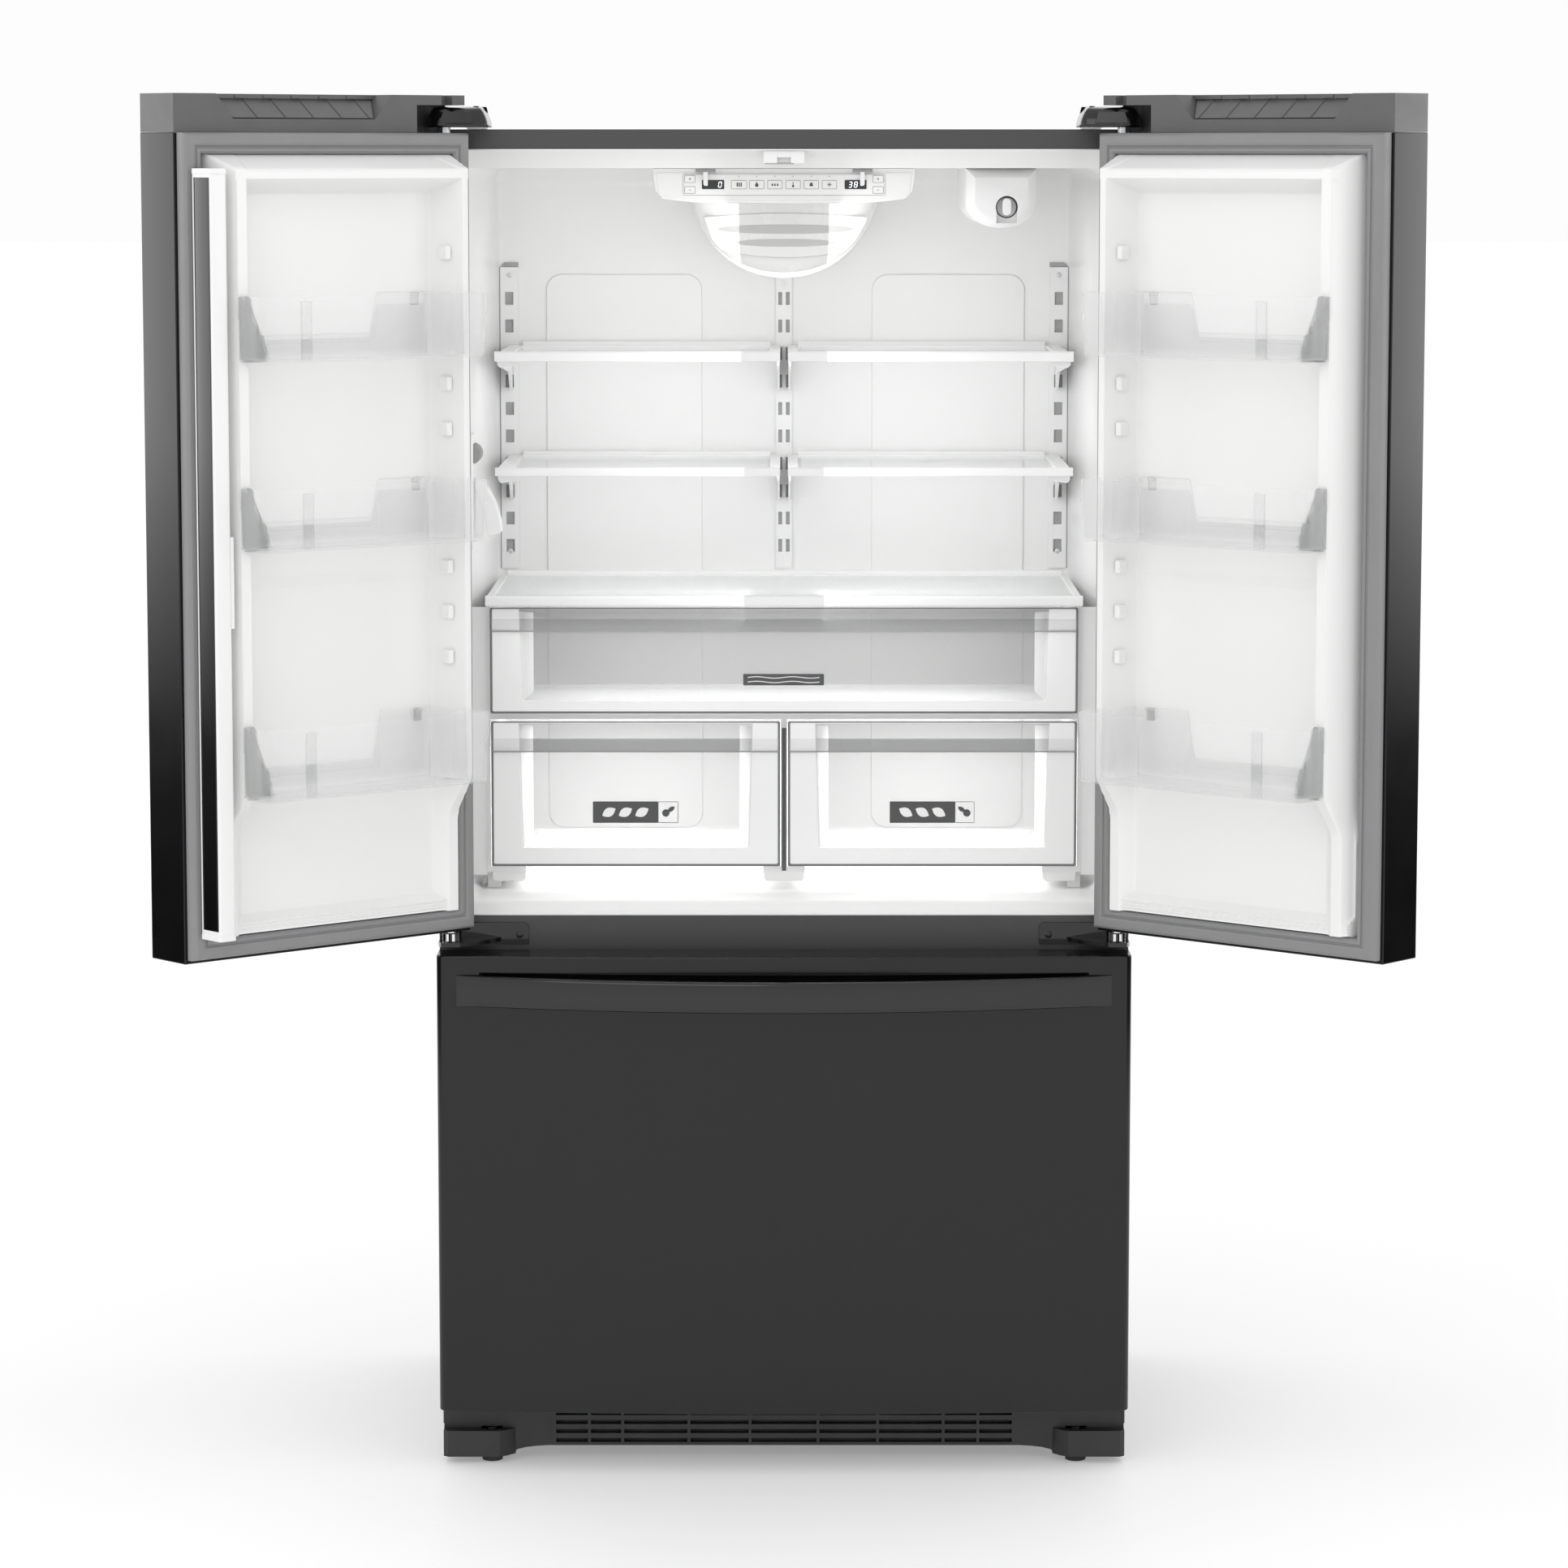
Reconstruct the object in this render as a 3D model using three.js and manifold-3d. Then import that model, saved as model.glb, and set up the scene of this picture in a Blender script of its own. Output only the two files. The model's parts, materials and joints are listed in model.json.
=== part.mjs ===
// French door refrigerator with a bottom freezer drawer.
// Millimetres, +Z up, +X to the right, +Y towards the back.
// Local planning frame: Y = 0 is the front face of the cabinet, Z = 0 the floor,
// X = 0 the centre line. The exported group moves it so that the origin is the
// centre of the bottom of the whole object's box. The doors stand open at rest.
import * as THREE from "three";
import { mergeVertices } from "three/addons/utils/BufferGeometryUtils.js";
import Module from "manifold-3d";

const wasm = await Module();
wasm.setup();

// ---------------------------------------------------------------- driving dimensions
const CAB_W = 905;            // cabinet and door width
const CAB_H = 1752;           // cabinet top above the floor
const CAB_D = 620;            // cabinet depth without doors
const CAB_Z0 = 46;            // underside of the cabinet
const SKIN = 2;               // steel wrapper
const GAP = 0.3;              // gap between parts that touch
const ORIGIN_Y = 118.17;      // centre of the whole box in the planning frame

const PIN_X = 435;            // hinge pins, left at -X and right at +X
const PIN_Y = -40;
const PIN_R = 7.5;
const BORE_R = 9;
const DOOR_OPEN = 139;        // how far the doors stand open, degrees

const DOOR_Z0 = 715, DOOR_Z1 = 1795;
const DOOR_FREE = 449.5;      // door width from its hinge edge to its free edge
const DOOR_IN = -20;          // inner plane of the door slab
const DOOR_OUT = -74;         // outer face at the cabinet's sides
const BOW = 20;               // how far the faces bow out on the centre line
const EDGE_R = 12;            // rounding of the outer hinge corner

const FRZ_Z0 = 81, FRZ_Z1 = 686;     // freezer drawer front
const RAIL_Z0 = 668, RAIL_Z1 = 728;  // rail between the compartments

const FF_Z0 = 730, FF_Z1 = 1725, FF_CEIL = 1702, FF_FLOOR = 744;
const FF_X = 423.5, FF_XR = 401.5, FF_BACK = 560;

const FZ_Z0 = 97, FZ_Z1 = 666, FZ_BACK = 545, FZ_STEP_Y = 375, FZ_STEP_Z = 300;

const SHELF_Y0 = 175, SHELF_Y1 = 554;
const SHELF_LEVELS = [1453, 1299.5];
const BIN_LEVELS = [[1466, 1547], [1233, 1311], [924, 1015]];

// ---------------------------------------------------------------- solid helpers
function toSolid(geometry) {
  const g = geometry.clone();
  for (const name of Object.keys(g.attributes)) if (name !== "position") g.deleteAttribute(name);
  const m = mergeVertices(g, 1e-4);
  return new wasm.Manifold(new wasm.Mesh({
    numProp: 3,
    vertProperties: Float32Array.from(m.attributes.position.array),
    triVerts: Uint32Array.from(m.index.array),
  }));
}
function toGeometry(solid) {
  const mesh = solid.getMesh();
  const g = new THREE.BufferGeometry();
  const p = new Float32Array(mesh.numVert * 3);
  for (let i = 0; i < mesh.numVert; i++)
    for (let k = 0; k < 3; k++) p[3 * i + k] = mesh.vertProperties[i * mesh.numProp + k];
  g.setAttribute("position", new THREE.BufferAttribute(p, 3));
  g.setIndex(new THREE.BufferAttribute(Uint32Array.from(mesh.triVerts), 1));
  return g;
}
const box = (x0, x1, y0, y1, z0, z1) => {
  const g = new THREE.BoxGeometry(x1 - x0, y1 - y0, z1 - z0);
  g.translate((x0 + x1) / 2, (y0 + y1) / 2, (z0 + z1) / 2);
  return toSolid(g);
};
const AXES = {
  z: new THREE.Matrix4(),
  x: new THREE.Matrix4().makeBasis(new THREE.Vector3(0, 1, 0), new THREE.Vector3(0, 0, 1), new THREE.Vector3(1, 0, 0)),
  y: new THREE.Matrix4().makeBasis(new THREE.Vector3(1, 0, 0), new THREE.Vector3(0, 0, 1), new THREE.Vector3(0, -1, 0)),
};
// Outline points are (x, y) for axis z, (y, z) for axis x and (x, z) for axis y.
function prism(axis, a, b, pts, hole, curveSegments = 8) {
  const shape = pts instanceof THREE.Shape ? pts : new THREE.Shape(pts.map(([u, v]) => new THREE.Vector2(u, v)));
  if (hole) shape.holes.push(new THREE.Path(hole.map(([u, v]) => new THREE.Vector2(u, v))));
  const g = new THREE.ExtrudeGeometry(shape, { depth: b - a, bevelEnabled: false, curveSegments });
  g.applyMatrix4(AXES[axis]);
  if (axis === "y") g.translate(0, b, 0);
  else if (axis === "x") g.translate(a, 0, 0);
  else g.translate(0, 0, a);
  return toSolid(g);
}
// A closed cylinder along an axis, with its centre (u, v) read as in prism.
function cyl(axis, a, b, u, v, r, n = 20, r2 = r) {
  const g = new THREE.CylinderGeometry(r2, r, b - a, n, 1);
  g.rotateX(Math.PI / 2);
  g.translate(0, 0, (a + b) / 2);
  if (axis === "z") g.translate(u, v, 0);
  else if (axis === "x") { g.applyMatrix4(AXES.x); g.translate(0, u, v); }
  else { g.translate(0, 0, -(a + b)); g.applyMatrix4(AXES.y); g.translate(u, 0, v); }
  return toSolid(g);
}
const join = (...s) => s.reduce((a, b) => a.add(b));
const cut = (a, ...s) => s.reduce((acc, b) => acc.subtract(b), a);
const both = (a, b) => a.intersect(b);
function mirrored(geometry) {
  const g = geometry.clone();
  g.scale(-1, 1, 1);
  const idx = g.index.array;
  for (let i = 0; i < idx.length; i += 3) { const t = idx[i + 1]; idx[i + 1] = idx[i + 2]; idx[i + 2] = t; }
  return g;
}
const mirrorSolid = (s) => toSolid(mirrored(toGeometry(s)));
function turned(solid, px, py, deg) {
  const g = toGeometry(solid);
  g.translate(-px, -py, 0);
  g.rotateZ(THREE.MathUtils.degToRad(deg));
  g.translate(px, py, 0);
  return toSolid(g);
}
function arc(cx, cy, r, a0, a1, n) {
  const out = [];
  for (let i = 0; i <= n; i++) {
    const t = THREE.MathUtils.degToRad(a0 + (a1 - a0) * i / n);
    out.push([cx + r * Math.cos(t), cy + r * Math.sin(t)]);
  }
  return out;
}

// ---------------------------------------------------------------- materials
const mat = (color, roughness, metalness = 0, extra = {}) =>
  new THREE.MeshStandardMaterial({ color, roughness, metalness, ...extra });
const M = {
  black: mat(0x1b1b1c, 0.25, 0.2),
  charcoal: mat(0x4a4a4b, 0.4, 0.3),
  cap: mat(0x5c5c5d, 0.5),
  white: mat(0xf2f2f0, 0.35),
  clear: mat(0xe6e9e9, 0.15, 0, { transparent: true, opacity: 0.4 }),
  glass: mat(0xe8f0ee, 0.08, 0, { transparent: true, opacity: 0.35 }),
  gasket: mat(0x858585, 0.7),
  foam: mat(0xd9c98a, 0.9),
  steel: mat(0xb9bcbe, 0.35, 0.9),
  dark: mat(0x151515, 0.6),
  panel: mat(0xf6f6f4, 0.4),
};

const assembly = new THREE.Group();
const add = (group, name, solid, material, px = 0, py = 0) => {
  const g = solid.isBufferGeometry ? solid : toGeometry(solid);
  if (px || py) g.translate(-px, -py, 0);
  const mesh = new THREE.Mesh(g, material);
  mesh.name = name;
  group.add(mesh);
  return mesh;
};
const both_sides = (leftName, rightName, solid, material, group = assembly) => {
  add(group, leftName, solid, material);
  add(group, rightName, mirrorSolid(solid), material);
};

// ---------------------------------------------------------------- cabinet
const HX = CAB_W / 2;
{
  // painted wrapper: sides, top, back, bottom and front flange in one
  let shell = cut(box(-HX, HX, 0, CAB_D, CAB_Z0, CAB_H),
    box(-HX + SKIN, HX - SKIN, SKIN, CAB_D - SKIN, CAB_Z0 + SKIN, CAB_H - SKIN),
    box(-FF_X - 2.3, FF_X + 2.3, -5, 5, FF_Z0 - 2.3, FF_Z1 + 2.3),
    box(-FF_X - 2.3, FF_X + 2.3, -5, 5, FZ_Z0 - 2.3, FZ_Z1 + 2.3),
    box(-430, 430, 404, CAB_D + 5, CAB_Z0 - 5, CAB_Z0 + 5),
    box(-425, 425, CAB_D - 5, CAB_D + 5, CAB_Z0 - 5, 284));
  add(assembly, "cabinet_shell", shell, M.charcoal);

  // fresh food liner
  const plan = (e, y0) => [[-FF_X - e, y0], [FF_X + e, y0], [FF_XR + 0.8 + e, 553], [398.5 + e / 2, FF_BACK + e], [-398.5 - e / 2, FF_BACK + e], [-FF_XR - 0.8 - e, 553]];
  const side = (e, y0) => [[y0, FF_Z0 - e], [10 - e / 2, FF_Z0 - e], [24 - e / 2, FF_FLOOR - e], [535, FF_FLOOR - e], [FF_BACK + e, 769 - e / 2], [FF_BACK + e, 1682 + e / 2], [540, FF_CEIL + e], [46 + e / 2, FF_CEIL + e], [31 + e / 2, FF_Z1 + e], [y0, FF_Z1 + e]];
  const tub = (e, y0) => both(prism("z", FF_Z0 - 20, FF_Z1 + 20, plan(e, y0)), prism("x", -HX, HX, side(e, y0)));
  let ffLiner = cut(tub(2, GAP), tub(0, -5));
  add(assembly, "fresh_food_liner", ffLiner, M.white);

  // freezer liner
  const fplan = (e, y0) => [[-FF_X - e, y0], [FF_X + e, y0], [412 + e, FZ_BACK + e], [-412 - e, FZ_BACK + e]];
  const fside = (e, y0) => [[y0, FZ_Z0 - e], [FZ_STEP_Y + e, FZ_Z0 - e], [FZ_STEP_Y + e, FZ_STEP_Z - e], [FZ_BACK + e, FZ_STEP_Z + 30 - e], [FZ_BACK + e, FZ_Z1 + e], [y0, FZ_Z1 + e]];
  const ftub = (e, y0) => both(prism("z", 60, 700, fplan(e, y0)), prism("x", -HX, HX, fside(e, y0)));
  add(assembly, "freezer_liner", cut(ftub(2, GAP), ftub(0, -5)), M.white);

  // insulation: fills the space between the wrapper and the liners
  let foam = cut(box(-HX + SKIN + GAP, HX - SKIN - GAP, SKIN + GAP, CAB_D - SKIN - GAP, CAB_Z0 + SKIN + GAP, CAB_H - SKIN - GAP),
    tub(2 + GAP, -5), ftub(2 + GAP, -5),
    box(-430, 430, 400, CAB_D + 5, CAB_Z0 - 5, 284));
  add(assembly, "insulation_foam", foam, M.foam);

  // machine compartment: base pan with roller ears, compressor and cover
  let pan = cut(box(-429, 429, 405, CAB_D - 4, 46, 66), box(-426, 426, 408, CAB_D - 7, 49, 70));
  for (const s of [-1, 1]) for (const x of [368, 392]) {
    const ear = cut(box(s > 0 ? x : -x - 3, s > 0 ? x + 3 : -x, 556, 604, 11, 47), cyl("x", -500, 500, 580, 20.5, 4.5, 12));
    pan = join(pan, ear);
  }
  add(assembly, "base_pan", pan, M.steel);
  const can = new THREE.LatheGeometry([[0, 58], [30, 58], [62, 66], [78, 84], [80, 120], [78, 160], [62, 196], [34, 212], [0, 216]].map(([r, z]) => new THREE.Vector2(r, z)), 24);
  can.rotateX(Math.PI / 2);
  can.translate(-250, 508, 0);
  add(assembly, "compressor", join(toSolid(can), box(-345, -155, 430, 586, 52, 62), box(-340, -320, 436, 452, 49.3, 53), box(-180, -160, 436, 452, 49.3, 53), box(-340, -320, 564, 580, 49.3, 53), box(-180, -160, 564, 580, 49.3, 53), cyl("z", 200, 236, -236, 508, 7, 8)), M.dark);
  // condensing coil beside the fan: a finned block
  let coil = box(40, 330, 430, 590, 66.5, 236);
  coil = cut(coil, box(60, 310, 420, 600, 88, 100), box(60, 310, 420, 600, 118, 130), box(60, 310, 420, 600, 148, 160), box(60, 310, 420, 600, 178, 190), box(60, 310, 420, 600, 208, 220));
  add(assembly, "condenser_coil", join(coil, box(44, 56, 430, 590, 49.3, 68), box(314, 326, 430, 590, 49.3, 68)), M.dark);
  let cover = box(-424, 424, CAB_D - 3.5, CAB_D - 0.5, 67, 283.5);
  for (let i = 0; i < 7; i++) cover = cut(cover, box(60, 380, CAB_D - 8, CAB_D + 4, 96 + 22 * i, 104 + 22 * i), box(-380, -230, CAB_D - 8, CAB_D + 4, 96 + 22 * i, 104 + 22 * i));
  // power inlet socket and water inlet nipple
  cover = join(cover, cut(box(-120, -78, CAB_D - 2, CAB_D + 5, 140, 172), box(-114, -84, CAB_D + 1, CAB_D + 9, 146, 166)),
    cyl("y", CAB_D - 2, CAB_D + 6, -20, 156, 12, 12));
  add(assembly, "machine_cover", cover, M.dark);
}

// condenser fan, spinning about the X axis
{
  let fan = cyl("x", -60, -30, 508, 150, 22, 16);
  for (let i = 0; i < 5; i++) {
    const blade = new THREE.BoxGeometry(3, 30, 48);
    blade.rotateZ(0.5);
    blade.translate(-45, 0, 40);
    blade.rotateX(i * 2 * Math.PI / 5);
    blade.translate(0, 508, 150);
    fan = join(fan, toSolid(blade));
  }
  add(assembly, "condenser_fan", fan, M.dark);
}

// ---------------------------------------------------------------- base
{
  // kick plate: a louvred grille between two foot boxes, one moulding
  const outline = new THREE.Shape();
  outline.moveTo(-HX + 2, 9); outline.lineTo(-372, 9);
  outline.quadraticCurveTo(-362, 10, -352, 15); outline.quadraticCurveTo(-340, 19, -312, 20);
  outline.lineTo(312, 20); outline.quadraticCurveTo(340, 19, 352, 15); outline.quadraticCurveTo(362, 10, 372, 9);
  outline.lineTo(HX - 2, 9); outline.lineTo(HX - 2, 44); outline.lineTo(HX - 2, 77); outline.lineTo(-HX + 2, 77);
  outline.closePath();
  let g = prism("y", -14, -4, outline, null, 3);
  const foot = prism("z", 9, 44, [[-HX + 2, 30], [-HX + 2, -28], [-HX + 8, -33], [-376, -33], [-366, -26], [-356, -14], [-356, 30]]);
  g = join(g, foot, mirrorSolid(foot));
  g = cut(g, cyl("z", 0, 46, -387, -8, 15.5, 20), cyl("z", 0, 46, 387, -8, 15.5, 20));
  const cols = [-304, -258, -214, -126, -45, 45, 124, 211, 257, 304];
  for (let r = 0; r < 4; r++) {
    const z = 27 + 12.2 * r;
    for (let c = 0; c + 1 < cols.length; c++) g = cut(g, box(cols[c] + 2, cols[c + 1] - 2, -20, 0, z - 2.6, z + 2.6));
  }
  add(assembly, "base_grille", g, M.black);

  const leg = join(cyl("z", 0, 12, -387, -8, 13.7, 20), cyl("z", 11, 44.5, -387, -8, 6, 12));
  both_sides("left_leveling_leg", "right_leveling_leg", leg, M.dark);
  const roller = join(cyl("x", -389.5, -373.5, 580, 20.5, 20.5, 24), cyl("x", -398, -365, 580, 20.5, 4, 12));
  both_sides("left_rear_roller", "right_rear_roller", roller, M.dark);
}

// ---------------------------------------------------------------- hinges
const coverPlan = [[56, -14], [56, 96], [20, 96], [20, 33], [12, 22.5], ...arc(0, 0, 24, 74, 296, 10), [40, -19]];
const at = (pts, x, y) => pts.map(([a, b]) => [a + x, b + y]);
{
  // top hinge: plate on the cabinet's top, arm to the pin, pin downwards
  const plate = [[50, 42], [50, 90], [26, 90], [28, 27], [9, 12], ...arc(0, 0, 15, 70, 290, 8), [30, -12], [50, 6]];
  const topHinge = join(prism("z", CAB_H + 3.3, CAB_H + 8, at(plate, -PIN_X, PIN_Y)),
    prism("z", CAB_H + GAP, CAB_H + 4, at([[50, 44], [50, 90], [26, 90], [26, 44]], -PIN_X, PIN_Y)),
    cyl("z", CAB_H - 16, CAB_H + 4, -PIN_X, PIN_Y, PIN_R, 20));
  both_sides("left_top_hinge", "right_top_hinge", topHinge, M.steel);
  const inner = [[52.5, -10], [52.5, 92.5], [23, 92.5], [23, 30.5], [14, 18], ...arc(0, 0, 20, 68, 300, 10), [38, -15]];
  let c = prism("z", CAB_H + GAP + 2, CAB_H + 29, at(coverPlan, -PIN_X, PIN_Y));
  // the cover's top slopes down to the front
  c = both(c, prism("x", -HX, -HX + 90, [[-80, CAB_H - 5], [70, CAB_H - 5], [70, CAB_H + 29], [-30, CAB_H + 29], [-56, CAB_H + 24], [-66, CAB_H + 14]]));
  c = cut(c, prism("z", CAB_H - 2, CAB_H + 18, at(inner, -PIN_X, PIN_Y)));
  both_sides("left_hinge_cover", "right_hinge_cover", c, M.black);

  // centre hinge: bracket on the rail, pin upwards with a hexagonal collar
  const arm = [[-PIN_X - 12, PIN_Y - 16], [-PIN_X + 12, PIN_Y - 16], [-PIN_X + 34, PIN_Y + 2], [-PIN_X + 64, -3.5], [-PIN_X + 64, -GAP], [-HX + 1.5, -GAP], [-HX + 1.5, PIN_Y - 4]];
  const ch = join(prism("z", 694, 700, arm),
    prism("y", -3.5, -GAP, [[-HX + 1.5, 690.5], [-335, 690.5], [-335, 715], [-339, 719], [-HX + 1.5, 719]]),
    cyl("z", 699, 711, -PIN_X, PIN_Y, 11, 6), cyl("z", 710, DOOR_Z0 + 18, -PIN_X, PIN_Y, PIN_R, 20));
  both_sides("left_center_hinge", "right_center_hinge", ch, M.black);
}

// ---------------------------------------------------------------- fresh food fittings
{
  let housing = new THREE.Shape();
  housing.moveTo(-172, FF_CEIL - GAP); housing.lineTo(-168, 1664);
  housing.quadraticCurveTo(-150, 1658, 0, 1656); housing.quadraticCurveTo(150, 1658, 168, 1664);
  housing.lineTo(172, FF_CEIL - GAP); housing.closePath();
  let h = prism("y", 70, 206, housing, null, 6);
  h = cut(h, box(-150, 150, 80, 210, 1668, 1698), prism("y", 200, 210, [[-150, 1668], [150, 1668], [150, 1698], [-150, 1698]]));
  add(assembly, "control_housing", h, M.white);
  add(assembly, "control_panel", box(-132.5, 132.5, 67.6, 69.7, 1665.5, 1695), M.panel);

  const front = [[-130, FF_CEIL - GAP], [-130, 1650], [-122, 1625], [-106, 1600], [-82, 1577], [-52, 1562], [0, 1554], [52, 1562], [82, 1577], [106, 1600], [122, 1625], [130, 1650], [130, FF_CEIL - GAP]];
  const sideP = [[206.5, FF_CEIL - GAP], [206.5, 1650], [300, 1622], [400, 1592], [480, 1570], [535, 1556], [555.5, 1553], [555.5, FF_CEIL - GAP - 22], [536, FF_CEIL - GAP]];
  add(assembly, "light_cover", cut(both(prism("y", 200, 560, front), prism("x", -140, 140, sideP)),
    both(prism("y", 230, 530, front.map(([x, z]) => [x * 0.92, z + 8])), prism("x", -140, 140, sideP.map(([y, z]) => [y, z + 12])))), M.glass);

  // water filter housing with the filter's end cap in its mouth
  const fh = new THREE.Shape();
  fh.moveTo(239, FF_CEIL - GAP); fh.lineTo(239, 1658); fh.quadraticCurveTo(243, 1625, 286, 1623);
  fh.quadraticCurveTo(329, 1625, 333, 1658); fh.lineTo(333, FF_CEIL - GAP); fh.closePath();
  add(assembly, "filter_housing", cut(prism("y", 120, 470, fh, null, 6), cyl("y", 110, 420, 293, 1651, 15, 20),
    box(278.5, 307.5, 110, 132, 1640, 1651)), M.white);
  add(assembly, "water_filter", join(cyl("y", 126, 418, 293, 1651, 13.5, 20), box(290.5, 295.5, 117, 127, 1641, 1661)), M.white);

  add(assembly, "mullion_guide", cut(box(-27, 27, 6, 26, 1708, FF_Z1 - GAP), prism("z", 1700, 1716, [[-8, 0], [8, 0], [8, 14], [-30, 20], [-30, 10]])), M.white);

  // slotted shelf supports
  const rowZ = [];
  for (let i = 0; i < 10; i++) rowZ.push(1519.4 - 38.5 * i);
  let ladder = box(-397.5, -372, 555.5, FF_BACK - GAP, 1141, 1563);
  for (const z of rowZ) ladder = cut(ladder, box(-390.8, -379.2, 550, 562, z - 9, z + 9));
  both_sides("left_shelf_ladder", "right_shelf_ladder", ladder, M.white);
  let mid = box(-11.3, 11.3, 555.5, FF_BACK - GAP, 1141, 1550);
  for (const z of rowZ) mid = cut(mid, box(-8, -2.6, 550, 562, z - 9, z + 9), box(2.6, 8, 550, 562, z - 9, z + 9));
  add(assembly, "center_shelf_ladder", mid, M.white);

  // half shelves: frame with glass, lip at the front and an arm at each end
  SHELF_LEVELS.forEach((z, level) => {
    const lip = level === 0 ? [z - 7, z + 7] : [z - 6, z + 6];
    let s = join(box(-385.5, -5, SHELF_Y0, SHELF_Y1, z - 5, z + 1), box(-385.5, -5, SHELF_Y0, SHELF_Y0 + 8, lip[0], lip[1]),
      box(-385.5, -5, SHELF_Y1 - 8, SHELF_Y1, z - 5, z + 7));
    const armP = [[SHELF_Y0 + 30, z - 4], [SHELF_Y0 + 60, z - 14], [SHELF_Y1 - 60, z - 34], [SHELF_Y1 - 20, z - 62], [SHELF_Y1, z - 62], [SHELF_Y1, z - 4]];
    s = join(s, prism("x", -384, -380.5, armP), prism("x", -9.5, -6, armP));
    const nm = level === 0 ? "upper" : "lower";
    both_sides(`left_${nm}_shelf`, `right_${nm}_shelf`, s, M.glass);
  });

  // glass cover over the deli drawer
  add(assembly, "crisper_cover", join(box(-396.5, 396.5, 115, 506, 1129, 1135), box(-396.5, 396.5, 115, 124, 1125, 1139), box(-396.5, 396.5, 498, 506, 1129, 1142)), M.glass);

  // drawer frame: side cheeks, divider, shelf between the drawers and bottom rails
  let fr = join(box(391.8, 397, 140, 508, 766, 1124), box(-397, -391.8, 140, 508, 766, 1124),
    box(-397, 397, 140, 508, 972, 979), box(-4, 4, 140, 508, 766, 979),
    box(-397, -345, 140, 508, 766, 774), box(345, 397, 140, 508, 766, 774), box(-28, 28, 140, 508, 766, 774),
    box(-397, 397, 502, 508, 1108, 1124), box(-397, 397, 502, 508, 961, 980), box(-397, 397, 502, 508, 766, 776));
  fr = join(fr, box(-397, -380, 150, 170, FF_FLOOR + GAP, 768), box(380, 397, 150, 170, FF_FLOOR + GAP, 768),
    box(-397, -380, 480, 500, FF_FLOOR + GAP, 768), box(380, 397, 480, 500, FF_FLOOR + GAP, 768));
  add(assembly, "drawer_frame", fr, M.white);
}

// ---------------------------------------------------------------- drawers inside
const tray = (x0, x1, y0, y1, z0, z1, wall, frontWall, floor) =>
  cut(prism("x", x0, x1, [[y0, z0], [y1, z0], [y1, z1], [y0, z1]]),
    prism("x", x0 + wall, x1 - wall, [[y0 + frontWall + 12, z0 + floor], [y1 - wall - 10, z0 + floor], [y1 - wall, z1 + 5], [y0 + frontWall, z1 + 5]]));
{
  add(assembly, "deli_drawer", tray(-390.8, 390.8, 130, 500, 981, 1122, 3, 10, 3), M.clear);
  const c = tray(-390, -5.4, 130, 500, 776, 970, 3, 10, 3);
  both_sides("left_crisper", "right_crisper", c, M.clear);
}

// ---------------------------------------------------------------- small levers
{
  // door switch levers: a bar at the ceiling with a stem
  const sw = join(box(-115.5, -89, 57, 62, 1696.5, 1701.2), box(-105.2, -99, 57.5, 61, 1679, 1699));
  both_sides("left_door_switch", "right_door_switch", sw, M.white);
  // water dispenser paddle on the left wall
  const paddle = new THREE.Shape();
  paddle.moveTo(-408, 1292); paddle.lineTo(-400, 1290); paddle.quadraticCurveTo(-385, 1268, -378, 1248);
  paddle.quadraticCurveTo(-373, 1230, -375, 1221); paddle.lineTo(-393, 1215); paddle.quadraticCurveTo(-396, 1240, -404, 1268);
  paddle.lineTo(-410, 1284); paddle.closePath();
  add(assembly, "water_paddle", prism("y", 132, 172, paddle, null, 4), M.white);
}

// ---------------------------------------------------------------- doors
const faceY = (x) => DOOR_OUT - BOW * (1 - (x / HX) ** 2);
function slabOutline(x0, x1, roundLeft, roundRight) {
  const pts = [[x0, DOOR_IN]];
  if (roundLeft) for (const p of arc(x0 + EDGE_R, faceY(x0 + EDGE_R) + EDGE_R, EDGE_R, 180, 270, 4)) pts.push(p);
  else pts.push([x0, faceY(x0)]);
  const a = roundLeft ? x0 + EDGE_R : x0, b = roundRight ? x1 - EDGE_R : x1 - 4;
  const n = Math.max(4, Math.round((b - a) / 56));
  for (let i = 1; i < n; i++) { const x = a + (b - a) * i / n; pts.push([x, faceY(x)]); }
  if (roundRight) for (const p of arc(x1 - EDGE_R, faceY(x1 - EDGE_R) + EDGE_R, EDGE_R, 270, 360, 4)) pts.push(p);
  else { pts.push([x1 - 4, faceY(x1 - 4)]); pts.push([x1, faceY(x1) + 4]); }
  pts.push([x1, DOOR_IN]);
  return pts;
}
const W0 = -HX;                       // left door: x of its hinge edge when closed
const FREE_X = W0 + DOOR_FREE;
const T0 = DOOR_IN;                   // y of the slab's inner plane

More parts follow.
